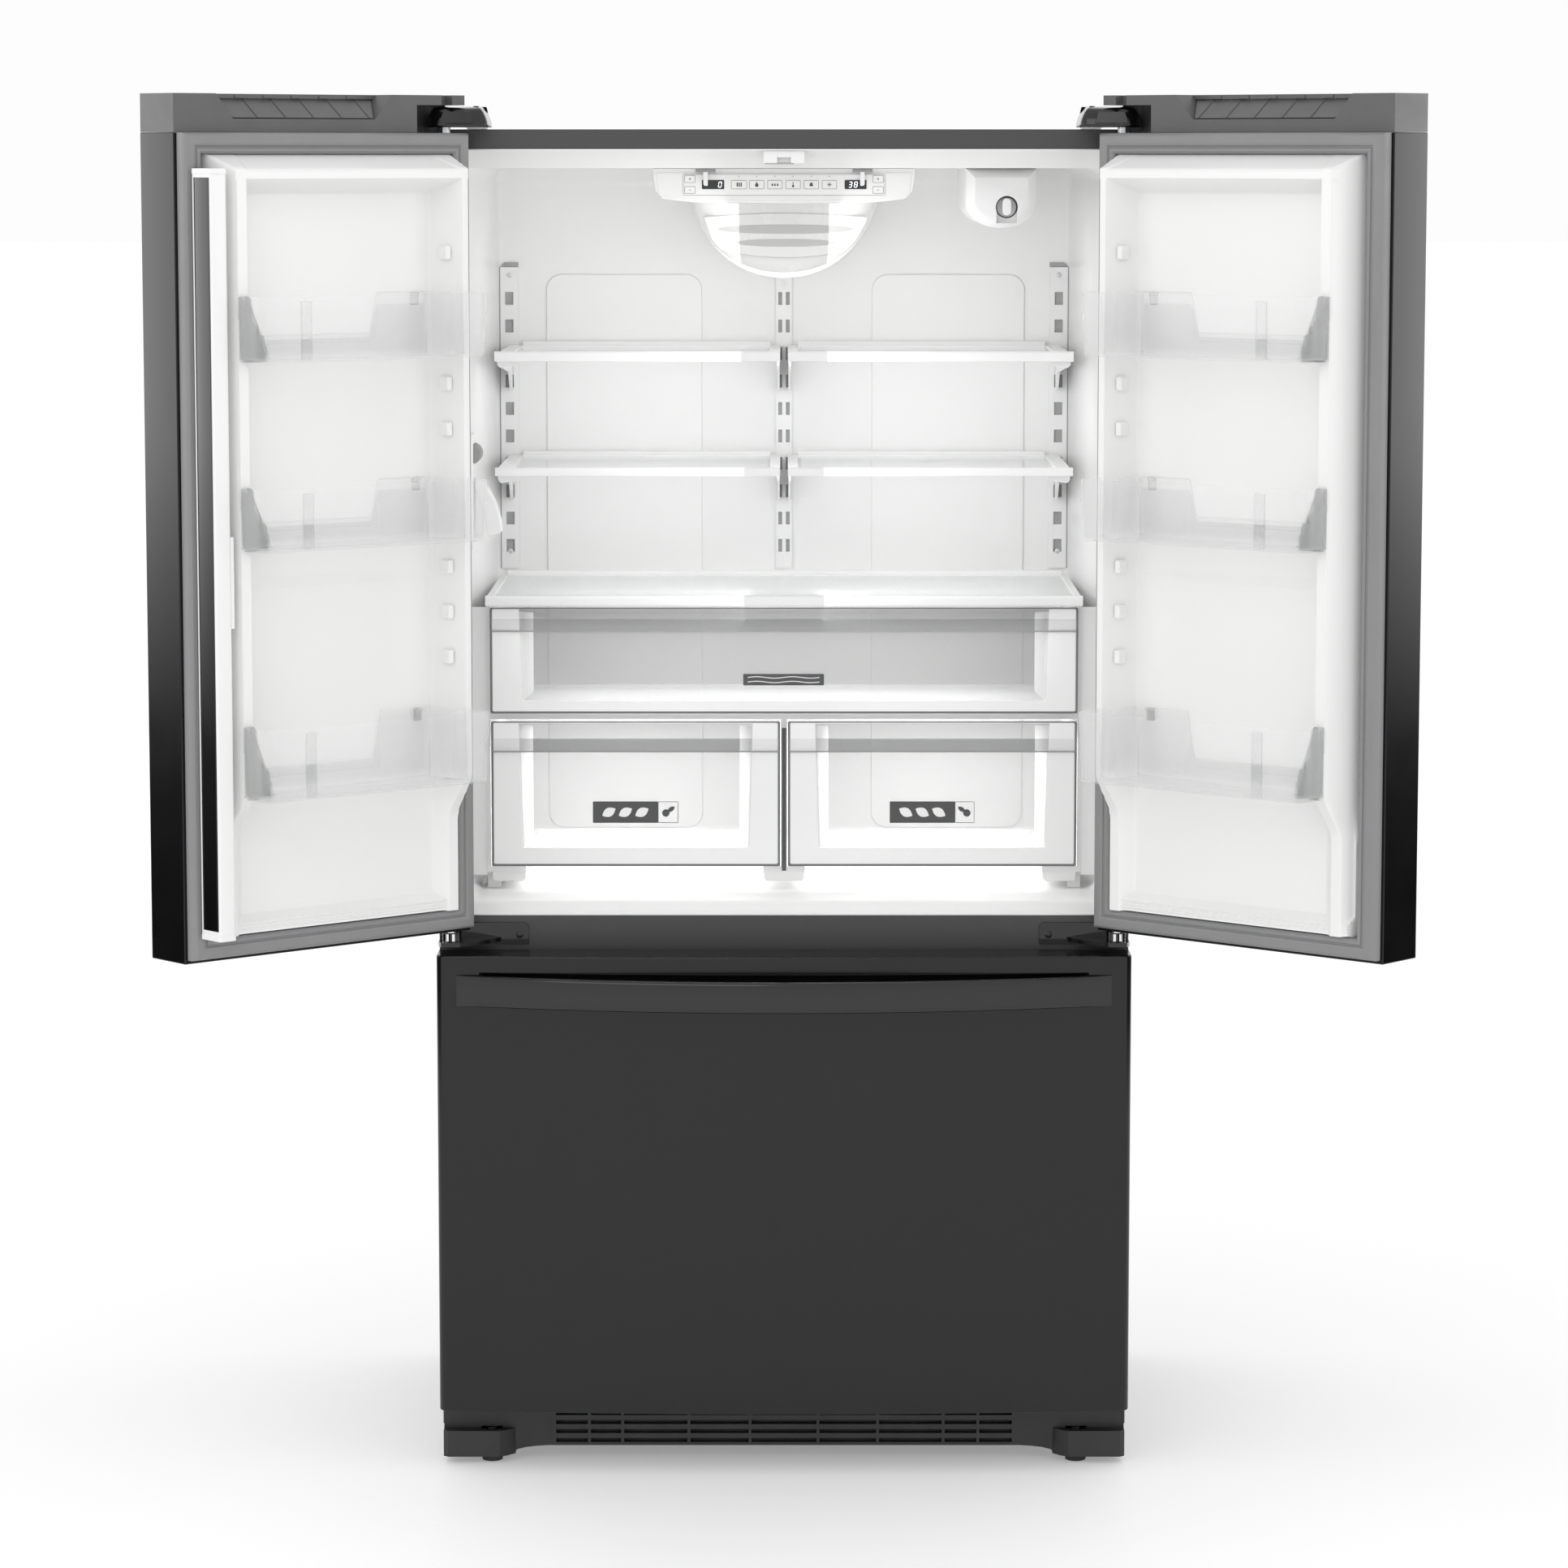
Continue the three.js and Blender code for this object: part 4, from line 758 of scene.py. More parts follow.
# face frame: a shallow raised facia with its own outline
fac = round_poly([(-166.5, 1696), (-163.5, 1666.5), (-155, 1663.0), (-80, 1660.6), (0, 1659.6), (80, 1660.6), (155, 1663.0), (163.5, 1666.5), (166.5, 1696)], [2, 5, 8, 30, 30, 30, 8, 5, 2], 5)
build("control_facia", prism("y", 68.9, 71, fac), "white_matte", "cabinet", bevel=0.5, seg=2, slot="white_plastic")
build("control_overlay", prism("y", 67.9, 69.2, rrect(-132.5, 132.5, 1665.6, 1695, 3, 5)), "overlay", "cabinet", bevel=0.3, replaces="control_panel", slot="overlay")
def outline_ring(name, x0, x1, z0, z1, y, w=0.5, r=1.2, mat="ink", th=0.25, space="cab", body="cabinet"):
    o, i = rrect(x0, x1, z0, z1, r, 4), rrect(x0 + w, x1 - w, z0 + w, z1 - w, max(0.1, r - w), 4)
    n = len(o)
    V = [(a, y, b) for a, b in o] + [(a, y, b) for a, b in i] + [(a, y + th, b) for a, b in o] + [(a, y + th, b) for a, b in i]
    F = []
    for k in range(n):
        j = (k + 1) % n
        F += [(k, j, n + j, n + k), (2 * n + k, 3 * n + k, 3 * n + j, 2 * n + j), (k, 2 * n + k, 2 * n + j, j), (n + k, n + j, 3 * n + j, 3 * n + k)]
    return build(name, (V, F), mat, body, space=space)
MAT["print_light"] = new_mat("print_light", (0.20, 0.20, 0.205), rough=0.5, bump=0.03, bump_scale=900, rough_var=0.04)
outline_ring("overlay_border", -131.5, 131.5, 1666.8, 1694.2, 67.72, w=0.45, r=2.4, mat="print_light")
PX = lambda x: (x - 966) * 1.0758
PZ = lambda y: 1775 - (y - 139) * 1.0758
keys = [(902, 921), (924, 942), (946, 964), (968, 986), (990, 1008), (1012, 1030)]
for j, (a, b) in enumerate(keys):
    build(f"key_{j+1}", prism("y", 67.25, 68.2, rrect(PX(a), PX(b), PZ(232), PZ(221.5), 1.0, 4)), "overlay", "cabinet", bevel=0.3, slot="overlay")
    outline_ring(f"key_{j+1}_edge", PX(a), PX(b), PZ(232), PZ(221.5), 67.1, w=0.5, r=1.0, mat="print_light")
    cx, cz = (PX(a) + PX(b)) / 2, PZ(226.6)
    # plain pictograms: dots, drops, waves, bars
    if j == 0:
        ic = join_vf(*[box(cx - 3.2 + 2.6 * k, cx - 1.6 + 2.6 * k, 67.0, 67.3, cz - 2.6, cz + 2.6) for k in range(3)])
    elif j == 1:
        ic = prism("y", 67.0, 67.3, arc(cx, cz - 0.8, 2.3, 160, 380, 10) + [(cx, cz + 3.6)])
    elif j == 2:
        ic = join_vf(*[prism("y", 67.0, 67.3, arc(cx - 3.4 + 3.4 * k, cz - 0.6, 1.15, 160, 380, 8) + [(cx - 3.4 + 3.4 * k, cz + 2.2)]) for k in range(3)])
    elif j == 3:
        ic = join_vf(box(cx - 0.5, cx + 0.5, 67.0, 67.3, cz - 1.4, cz + 3.2), cyl("y", 67.0, 67.3, cx, cz - 2.0, 1.5, 16))
    elif j == 4:
        ic = prism("y", 67.0, 67.3, [(cx - 3, cz - 2.0), (cx + 3, cz - 2.0), (cx + 2.0, cz - 1.0), (cx + 2.0, cz + 0.8), (cx + 1, cz + 2.6), (cx - 1, cz + 2.6), (cx - 2.0, cz + 0.8), (cx - 2.0, cz - 1.0)])
    else:
        ic = join_vf(*[prism("y", 67.0, 67.3, [(cx + 3.2 * math.cos(t) - 0.3 * math.sin(t), cz + 3.2 * math.sin(t) + 0.3 * math.cos(t)), (cx - 3.2 * math.cos(t) - 0.3 * math.sin(t), cz - 3.2 * math.sin(t) + 0.3 * math.cos(t)),
                       (cx - 3.2 * math.cos(t) + 0.3 * math.sin(t), cz - 3.2 * math.sin(t) - 0.3 * math.cos(t)), (cx + 3.2 * math.cos(t) + 0.3 * math.sin(t), cz + 3.2 * math.sin(t) - 0.3 * math.cos(t))]) for t in (0, math.pi / 3, 2 * math.pi / 3)])
    build(f"key_{j+1}_icon", ic, "ink", "cabinet")
    build(f"key_{j+1}_lamp", cyl("y", 67.6, 67.95, cx, PZ(216.6), 0.65, 14), "print_light", "cabinet")
SEG = {"0": "abcdef", "3": "abcdg", "8": "abcdefg"}
def digit(name, ch, cx, cz, w=3.6, h=6.8, y=67.0, t=0.75, sl=0.45):
    s = {"a": (0, h / 2, 1), "g": (0, 0, 1), "d": (0, -h / 2, 1), "b": (w / 2, h / 4, 0), "c": (w / 2, -h / 4, 0), "f": (-w / 2, h / 4, 0), "e": (-w / 2, -h / 4, 0)}
    bits = []
    for k in SEG[ch]:
        x, z, hor = s[k]
        hw, hh = ((w / 2 - 0.35, t / 2) if hor else (t / 2, h / 4 - 0.3))
        pts = [(x - hw, z - hh), (x + hw, z - hh), (x + hw, z + hh), (x - hw, z + hh)]
        bits.append(prism("y", y - 0.15, y + 0.15, [(cx + a + sl * b / h * 2, cz + b) for a, b in pts]))
    build(name, join_vf(*bits), "digit", "cabinet")
for nm, a, b, ds in (("left", 866.5, 893.5, ((888.5, "0"),)), ("right", 1039.5, 1066, ((1046.5, "3"), (1053, "8")))):
    build(f"{nm}_window", prism("y", 67.1, 68.4, rrect(PX(a), PX(b), PZ(232), PZ(221), 1.0, 4)), "window", "cabinet", bevel=0.2, slot="overlay")
    for k, (c, ch) in enumerate(ds):
        digit(f"{nm}_digit_{k+1}", ch, PX(c), PZ(226.6))
for nm, a, b in (("left", 845.5, 858.5), ("right", 1073.5, 1086.5)):
    for up, (y0, y1) in (("plus", (215.5, 224.4)), ("minus", (228.8, 237.4))):
        build(f"{nm}_{up}_key", prism("y", 67.25, 68.2, rrect(PX(a), PX(b), PZ(y1), PZ(y0), 0.9, 4)), "overlay", "cabinet", bevel=0.3, slot="overlay")
        outline_ring(f"{nm}_{up}_edge", PX(a), PX(b), PZ(y1), PZ(y0), 67.1, w=0.5, r=0.9, mat="print_light")
        cx, cz = PX((a + b) / 2), PZ((y0 + y1) / 2)
        bits = [box(cx - 1.5, cx + 1.5, 67.0, 67.3, cz - 0.3, cz + 0.3)] + ([box(cx - 0.3, cx + 0.3, 67.0, 67.3, cz - 1.5, cz + 1.5)] if up == "plus" else [])
        build(f"{nm}_{up}_sign", join_vf(*bits), "ink", "cabinet")

# hood over the panel, with a gap for the mullion's guide
for nm, sp in (("left", "cab"), ("right", "mir")):
    hood = round_poly([(-173, 1702.2), (-171.5, 1709.2), (-160, 1711), (-47, 1715.4), (-40.5, 1712), (-36.5, 1702.2)], [0.6, 2, 4, 3, 2, 0.6], 4)
    build(f"{nm}_control_hood", prism("y", 52, 64, hood), "liner", "cabinet", space=sp, bevel=1.1, seg=3, slot="liner_white")
build("guide_block", join_vf(box(-26.6, -8.6, 6.4, 25.6, 1708.4, 1724.5), box(8.6, 26.6, 6.4, 25.6, 1708.4, 1724.5), box(-9, 9, 15, 25.6, 1708.4, 1724.5), box(-9, 9, 6.4, 16, 1716, 1724.5)), "white", "cabinet", bevel=0.9, replaces="mullion_guide", slot="white_plastic")
# grey plate under the guide block: painted shade in its recess
build("guide_recess_shade", prism("z", 1707.2, 1709.6, [(-25, 6.6), (13, 6.6), (13, 10), (-25, 12.5)]), "slot", "cabinet", bevel=0.4)

# light cover: a smooth dome with a lens panel and two slits
def dome_ring(y, a, b, z_top=1701.6, n=40):
    pts = []
    for i in range(n + 1):
        t = math.pi * i / n
        pts.append((-a * math.cos(t) * (1 - 0.02 * math.sin(2 * t) ** 2), y, z_top - b * math.sin(t) ** 0.86))
    return pts
dome = loft([dome_ring(206.8, 96, 92), dome_ring(207.6, 108, 108), dome_ring(210.5, 117, 122), dome_ring(216, 123, 133), dome_ring(226, 127.5, 141.5), dome_ring(245, 129.6, 146),
             dome_ring(300, 130, 147.6), dome_ring(420, 130, 148), dome_ring(530, 129.8, 148), dome_ring(555, 129.5, 148)])
build("light_dome", dome, "lens", "cabinet", sharp=60, replaces="light_cover", slot="white_plastic")
# grey for painted shade: the groove round the lens panel and the embossed slits
MAT["groove_shade"] = new_mat("painted_groove_shade", (0.60, 0.60, 0.595), rough=0.6, bump=0.03, bump_scale=500, rough_var=0.05)
def curve_frame(name, pts, y, w, mat):
    o = inset(pts, -w / 2); i = inset(pts, w / 2)
    n = len(pts)
    V = [(a, y, b) for a, b in o] + [(a, y, b) for a, b in i] + [(a, y + 1.5, b) for a, b in o] + [(a, y + 1.5, b) for a, b in i]
    F = []
    for k in range(n):
        j = (k + 1) % n
        F += [(k, j, n + j, n + k), (2 * n + k, 3 * n + k, 3 * n + j, 2 * n + j), (k, 2 * n + k, 2 * n + j, j), (n + k, n + j, 3 * n + j, 3 * n + k)]
    return build(name, (V, F), mat, "cabinet")
LX = lambda x: (x - 966) * 1.10
LZ = lambda y: 1775 - (y - 139) * 1.10
lens_top = [(LX(870 + 196 * i / 16), LZ(264.5 - 4.6 * math.sin(math.pi * i / 16))) for i in range(17)]
lens_bot = [(LX(1038 - 140 * i / 12), LZ(307.0 + 6.0 * math.sin(math.pi * i / 12))) for i in range(13)]
lens_pts = [(LX(869.6), LZ(266.5))] + lens_top + [(LX(1066.4), LZ(266.5)), (LX(1064), LZ(273)), (LX(1053), LZ(292)), (LX(1042), LZ(304))] + lens_bot + [(LX(890), LZ(304)), (LX(879), LZ(292)), (LX(872), LZ(273))]
build("lens_panel", prism("y", 205.4, 208, inset(lens_pts, 0.0)[::-1]), "lens", "cabinet", bevel=1.0, seg=3, slot="white_plastic")
curve_frame("lens_gap_shade", lens_pts, 205.9, 1.2, "groove_shade")
for nm, x0, x1, yc, hh in (("upper", 886, 1049, 279, 6.2), ("lower", 907, 1028, 295.4, 5.2)):
    n = 36
    pts = []
    cx, rx = LX((x0 + x1) / 2), (x1 - x0) / 2 * 1.10
    for i in range(n):
        t = 2 * math.pi * i / n
        pts.append((cx + rx * (abs(math.cos(t)) ** 0.9) * (1 if math.cos(t) >= 0 else -1), LZ(yc) + hh * math.sin(t)))
    build(f"lens_{nm}_slit", prism("y", 204.9, 206, pts), "groove_shade", "cabinet", bevel=0.5)

# water filter housing and its cap
def fh_ring(y, d):
    return [(x, y, z) for x, z in inset(fh_pts, d)]
fh_pts = [(239, 1701.5), (239, 1658)] + [(239 + 47 * (1 - math.cos(t)) if False else 286 - 47 * math.cos(t), 1658 - 35 * math.sin(t)) for t in [math.pi * i / 24 for i in range(1, 24)]] + [(333, 1658), (333, 1701.5)]
o = build("filter_body", loft([fh_ring(120.2, 12.5), fh_ring(121.0, 11.0), fh_ring(134, 1.6), fh_ring(137, 0.3), fh_ring(141, 0), fh_ring(440, 0), fh_ring(462, 3), fh_ring(469.5, 9)]), "white", "cabinet", replaces="filter_housing", slot="white_plastic")
boolean(o, cyl("y", 110, 420, 293, 1651, 14.6, 40))
boolean(o, prism("y", 110, 136, [(279.5, 1630), (306.5, 1630), (306.5, 1648)] + arc(293, 1648, 13.5, 0, 180, 14) + [(279.5, 1648)]))
finish_mesh(o, sharp=36, bevel=1.0)
cap = loft([[(293 + r * math.cos(t), y, 1651 + r * math.sin(t)) for t in [2 * math.pi * i / 40 for i in range(40)]] for y, r in ((418, 12), (416, 13.3), (140, 13.4), (136, 13.2), (134.6, 12.2), (134.2, 3))])
build("filter_cap", cap, "cap_grey", "water_filter", sharp=50, replaces="water_filter", slot="white_plastic")
build("filter_grip", prism("y", 118.2, 136, rrect(287.2, 298.8, 1640.4, 1662.5, 5.2, 6)), "white", "water_filter", bevel=1.6, seg=3, slot="white_plastic")

# shelf supports with their slots; grey plates behind the slots, above the rails and along their outer edges are painted
# shade
def ladder(xa, xb, z0, z1, slots, rows):
    """A thin strip with rectangular holes, built as rails and bars."""
    xs = [xa]
    for a, b in slots:
        xs += [a, b]
    xs.append(xb)
    zsl = sorted([(z - 9, z + 9) for z in rows if z0 < z - 9 and z + 9 < z1])
    bars, zc = [], z0
    for a, b in zsl:
        bars.append((zc, a)); zc = b
    bars.append((zc, z1))
    items = []
    for k in range(0, len(xs), 2):
        items.append(box(xs[k], xs[k + 1], 555.6, 559.6, z0, z1))
    for a, b in slots:
        for c, d in bars:
            items.append(box(a - 0.02, b + 0.02, 555.6, 559.6, c, d))
    return join_vf(*items)
rows = [1519.4 - 38.5 * i for i in range(10)]
for nm, sp in (("left", "cab"), ("right", "mir")):
    build(f"{nm}_shelf_rail", ladder(-397.4, -372.1, 1141, 1563, [(-390.8, -379.2)], rows), "white", "cabinet", space=sp, replaces=f"{nm}_shelf_ladder", slot="white_plastic")
    build(f"{nm}_rail_shadow", box(-392, -378, 558.6, 559.4, 1145, 1560), "slot", "cabinet", space=sp)
    build(f"{nm}_rail_top_shade", prism("y", 557.5, 559.2, [(-397, 1563.6), (-372, 1563.6), (-372, 1569.5), (-391, 1569.5)]), "slot", "cabinet", space=sp)
    build(f"{nm}_rail_edge_shade", box(-399.0, -397.5, 557, 559, 1141, 1563), "slot", "cabinet", space=sp)
    for j, z in enumerate((1552, 1165)):
        build(f"{nm}_rail_screw_{j+1}", screw_head(-385, 555.6, z, r=3.6, h=1.2), "pin", "cabinet", space=sp)
build("center_shelf_rail", ladder(-11.2, 11.2, 1141, 1550, [(-8, -2.6), (2.6, 8)], rows), "white", "cabinet", replaces="center_shelf_ladder", slot="white_plastic")
build("center_rail_shadow", box(-9, 9, 558.6, 559.4, 1145, 1545), "slot", "cabinet")
build("center_rail_screw", screw_head(0, 555.6, 1540, r=3.6, h=1.2), "white_matte", "cabinet")

# half shelves
for level, zc in (("upper", 1453), ("lower", 1299.5)):
    h = 7 if level == "upper" else 6
    for nm, sp in (("left", "cab"), ("right", "mir")):
        g = f"{nm}_{level}_shelf"
        build(f"{g}_glass", box(-368, -22, 181, 549, zc - 4.4, zc - 0.6), "glass", "cabinet", space=sp, bevel=0.5, slot="shelf_glass")
        lip = prism("x", -385.3, -5.2, round_poly([(175.2, zc - h + 0.2), (184, zc - h + 0.2), (185, zc - 3), (190, zc - 2.2), (190, zc + 1.2), (184, zc + 1.6), (181, zc + h - 0.4), (177.5, zc + h - 0.2), (175.2, zc + h - 3)], [2, 1, 1, 0.5, 0.5, 1, 1.5, 1.5, 1.5], 3))
        build(f"{g}_front", lip, "white", "cabinet", space=sp, sharp=45, bevel=0.8, replaces=g, slot="white_plastic")
        end = lambda xa, xb, xc: prism("z", zc - 5, zc + 1.4, round_poly([(xa, 186), (xb, 186), (xc, 200), (xc, 553.5), (xa, 553.5)], [1, 3, 6, 1, 1], 4))
        build(f"{g}_outer_rim", end(-385.3, -352, -366), "white", "cabinet", space=sp, bevel=0.8, slot="white_plastic")
        inner = prism("z", zc - 5, zc + 1.4, round_poly([(-5.2, 186), (-5.2, 553.5), (-19, 553.5), (-19, 214), (-33, 205), (-33, 186)], [1, 1, 1, 5, 4, 1], 4))
        build(f"{g}_inner_rim", inner, "white", "cabinet", space=sp, bevel=0.8, slot="white_plastic")
        build(f"{g}_back", prism("x", -366, -19, round_poly([(546, zc - 5), (553.6, zc - 5), (553.6, zc + 6.6), (551, zc + 6.6), (549, zc + 1.4), (546, zc + 1.4)], 0.8, 2)), "white", "cabinet", space=sp, bevel=0.5, slot="white_plastic")
        arm = round_poly([(200, zc - 4), (232, zc - 14), (494, zc - 34), (534, zc - 61.5), (553.6, zc - 61.5), (553.6, zc - 4)], [3, 6, 10, 8, 3, 1], 4)
        build(f"{g}_outer_arm", prism("x", -383.9, -380.6, arm), "white", "cabinet", space=sp, bevel=0.7, slot="white_plastic")
        build(f"{g}_inner_arm", prism("x", -9.4, -6.1, arm), "white", "cabinet", space=sp, bevel=0.7, slot="white_plastic")
        clip = round_poly([(-382, zc - 5), (-351, zc - 5), (-354, zc - 12), (-366, zc - 14), (-378, zc - 16), (-382, zc - 12)], [0.5, 1, 3, 3, 2, 1], 3)
        build(f"{g}_clip", prism("y", 190, 226, clip), "white", "cabinet", space=sp, bevel=0.8, slot="white_plastic")

# glass cover over the deli drawer, with a white front rail
build("crisper_glass", box(-388, 388, 121, 500, 1130.4, 1134.4), "glass_dots", "cabinet", bevel=0.5, slot="shelf_glass")
lip = round_poly([(115.2, 1125.2), (126, 1125.2), (127, 1129.2), (131, 1129.4), (131, 1135.4), (127, 1135.8), (123.8, 1138.8), (118, 1138.8), (115.2, 1136)], [2.5, 1, 1, 0.5, 0.5, 1, 1, 1.5, 1.5], 3)
build("crisper_cover_front", prism("x", -396.3, 396.3, lip), "white", "cabinet", sharp=45, bevel=0.8, replaces="crisper_cover", slot="white_plastic")
for nm, sp in (("left", "cab"), ("right", "mir")):
    build(f"crisper_cover_{nm}_edge", box(-396.3, -386, 128, 506, 1129.2, 1136), "white", "cabinet", space=sp, bevel=1.2, slot="white_plastic")
build("crisper_cover_back", prism("x", -386.5, 386.5, round_poly([(498.2, 1129.2), (505.8, 1129.2), (505.8, 1141.8), (502.5, 1141.8), (500.5, 1136), (498.2, 1136)], 0.8, 2)), "white", "cabinet", bevel=0.6, slot="white_plastic")

# drawer frame
from_cad("drawer_frame", "white", "cabinet", bevel=0.9)
for nm, sp in (("left", "cab"), ("right", "mir")):
    build(f"{nm}_frame_flange", box(-417.2, -396.9, 141.5, 144.0, 762, 1122), "white", "cabinet", space=sp, bevel=0.8, slot="white_plastic")
for j, (x0, x1) in enumerate(((-390, -346), (346, 390), (-27, 27))):
    build(f"frame_stop_{j+1}", prism("y", 141, 150, round_poly([(x0, 766.2), (x1, 766.2), (x1, 757), (x1 - 3, 754), (x0 + 3, 754), (x0, 757)], [0.5, 0.5, 3, 2, 2, 3], 3)), "white", "cabinet", bevel=0.8, slot="white_plastic")

# dark strip on the frame's centre pillar: painted shade in the gap between the crispers
build("frame_pillar_shade", box(-2.9, 2.9, 138.6, 140.2, 768, 960), "pillar_shade", "cabinet", bevel=0.3, slot="white_plastic")

# drawers: clear tray, white pillars and lower sill, handle band
def tray_shell(x0, x1, y0, y1, z0, z1, wall, taper=10):
    def ring(d, z, back):
        return [(x, y, z) for x, y in rrect(x0 + d, x1 - d, y0 + d + 2, y1 - d - back, 6, 4)]
    return loft([ring(4.0, z0, taper), ring(2.0, z0 + 1, taper), ring(1.0, z0 + 5, taper), ring(0, z1 - 3, 0), ring(-0.0, z1 - 0.6, 0), ring(0.8, z1, 0), ring(wall, z1 - 0.6, 0), ring(wall, z0 + 7, taper), ring(wall + 2, z0 + wall, taper)])

def front_band(x0, x1, z0, z1, y0=129.6, th=2.4):
    return prism("y", y0, y0 + th, rrect(x0, x1, z0, z1, 2.0, 4))

def drawer(tag, body, x0, x1, z0, z1, pl, pr, sill, band, node, space="cab"):
    w0, w1 = x0 + pl, x1 - pr
    build(f"{tag}_tray", tray_shell(x0, x1, 131, 500, z0, z1 - 1, 3.0), "clear", body, space=space, sharp=50, replaces=node, slot="clear_plastic")
    # white front frame: pillars leaning in a little to the sill
    a, b = x0 + 0.4, x1 - 0.4
    face = [(a, z0 + 0.8), (b, z0 + 0.8), (b, z1 - 1), (w1, z1 - 1), (w1 - 4.5, z0 + sill), (w0 + 4.5, z0 + sill), (w0, z1 - 1), (a, z1 - 1)]
    build(f"{tag}_front_frame", prism("y", 128.6, 133.5, round_poly(face, [2.5, 2.5, 2, 0.6, 2.5, 2.5, 0.6, 2], 4)), "white", body, space=space, bevel=1.0, seg=3, slot="white_plastic")
    # returns behind the pillars, reaching into the tray
    for s, a, sg in (("left", w0, 1), ("right", w1, -1)):
        pts = [(a, 133, z1 - 5), (a + 16 * sg, 166, z1 - 9), (a + 16 * sg, 166, z0 + sill + 9), (a + 4.5 * sg, 133, z0 + sill)]
        V = pts + [(x + 1.6 * sg, y, z) for x, y, z in pts]
        F = [(0, 1, 2, 3), (7, 6, 5, 4)] + [(i, (i + 1) % 4, 4 + (i + 1) % 4, 4 + i) for i in range(4)]
        build(f"{tag}_{s}_return", (V, F), "white", body, space=space, bevel=0.5, slot="white_plastic")
    build(f"{tag}_window", box(w0 - 2, w1 + 2, 130.2, 132.2, z0 + sill - 1, z1 - 3), "clear", body, space=space, bevel=0.6, slot="clear_plastic")
    b0, b1 = band
    hb = prism("x", x0 + 1, x1 - 1, round_poly([(126.4, b0), (130, b0), (130, b1), (128.5, b1), (127, b1 - 3), (126.4, b0 + 5)], [1.2, 0.4, 0.4, 0.8, 3, 2], 3))
    build(f"{tag}_grip_band", hb, "clear_dense", body, space=space, bevel=0.5, slot="clear_plastic")
    build(f"{tag}_grip_edge", prism("x", x0 + 1, x1 - 1, arc(126.6, b0 + 0.9, 0.95, 0, 324, 9)), "grey_edge", body, space=space)
    # dark joint line round the front
    o_, i_ = rrect(x0 - 0.6, x1 + 0.6, z0 - 0.8, z1 + 0.2, 2, 4), rrect(x0 + 2.4, x1 - 2.4, z0 + 2.2, z1 - 1.0, 2, 4)
    n = len(o_)
    V = [(a, 128.2, b) for a, b in o_] + [(a, 128.2, b) for a, b in i_] + [(a, 134, b) for a, b in o_] + [(a, 134, b) for a, b in i_]
    F = []
    for k in range(n):
        j = (k + 1) % n
        F += [(k, j, n + j, n + k), (2 * n + k, 3 * n + k, 3 * n + j, 2 * n + j), (k, 2 * n + k, 2 * n + j, j), (n + k, n + j, 3 * n + j, 3 * n + k)]
    build(f"{tag}_trim", (V, F), "trim_grey", body, space=space, slot="gasket_grey")

drawer("deli", "deli_drawer", -390.4, 390.4, 981.4, 1121.6, 38, 38, 16, (1090, 1107), "deli_drawer")
drawer("left_crisper", "left_crisper", -389.6, -5.8, 776.4, 969.6, 36, 36, 24, (929, 947), "left_crisper")
drawer("right_crisper", "right_crisper", -389.6, -5.8, 776.4, 969.6, 36, 36, 24, (929, 947), "right_crisper", space="mir")

# small plates with plain pictograms
DX = lambda x: (x - 966) * 1.0855
DZ = lambda y: 1775 - (y - 139) * 1.0855
def plate(tag, body, x0, x1, z0, z1, icon, space="cab"):
    build(f"{tag}_plate", prism("y", 128.9, 130.4, rrect(x0, x1, z0, z1, 0.8, 3)), "plate", body, space=space, bevel=0.25)
    build(f"{tag}_plate_icon", icon, "overlay", body, space=space)
def wave(x0, x1, z, amp, th, n=24):
    up = [(x0 + (x1 - x0) * i / n, z + th / 2 + amp * math.sin(4 * math.pi * i / n)) for i in range(n + 1)]
    dn = [(x0 + (x1 - x0) * i / n, z - th / 2 + amp * math.sin(4 * math.pi * i / n)) for i in range(n, -1, -1)]
    return prism("y", 128.5, 129.2, up + dn)
x0, x1, z0, z1 = DX(916), DX(1015), DZ(836), DZ(822)
plate("deli", "deli_drawer", x0, x1, z0, z1, join_vf(*[wave(x0 + 6, x1 - 6, z0 + (z1 - z0) * k, 1.0, 1.0) for k in (0.3, 0.7)]))
x0, x1, z0, z1 = DX(731), DX(811), DZ(1006), DZ(979.5)
leaf = lambda cx, cz, a, b, rot: prism("y", 128.5, 129.2, [(cx + (a * math.cos(t) * math.cos(rot) - b * math.sin(t) * abs(math.sin(t)) * math.sin(rot)), cz + (a * math.cos(t) * math.sin(rot) + b * math.sin(t) * abs(math.sin(t)) * math.cos(rot))) for t in [2 * math.pi * i / 28 for i in range(28)]])
for nm, body, sp in (("left_crisper", "left_crisper", "cab"), ("right_crisper", "right_crisper", "mir")):
    zc = (z0 + z1) / 2
    if nm == "left_crisper":
        xa, xb, xc = x0, x1, DX(836)
    else:
        # the right drawer's plate reads the same way round, so its icon field is on the right too
        xa, xb, xc = -DX(1176), -DX(1096), -DX(1200)
    lo, hi = min(xa, xb), max(xa, xb)
    cx = (lo + hi) / 2
    plate(nm, body, lo, hi, z0, z1, join_vf(leaf(cx - 22, zc, 10, 6, 0.5), leaf(cx, zc, 10, 6, 0.5), leaf(cx + 22, zc, 10, 6, 0.5)), space=sp)
    l2, h2 = (hi, xc) if nm == "left_crisper" else (xc, lo)
    outline_ring(f"{nm}_icon_field", l2, h2, z0, z1, 128.9, w=0.7, r=0.8, mat="plate", space=sp, body=body, th=0.6)
    mx = (l2 + h2) / 2
    build(f"{nm}_fruit_icon", join_vf(cyl("y", 128.8, 129.4, mx - 3, zc - 1, 5, 24), leaf(mx + 4, zc + 4, 6, 3, 0.6)), "plate", body, space=sp)

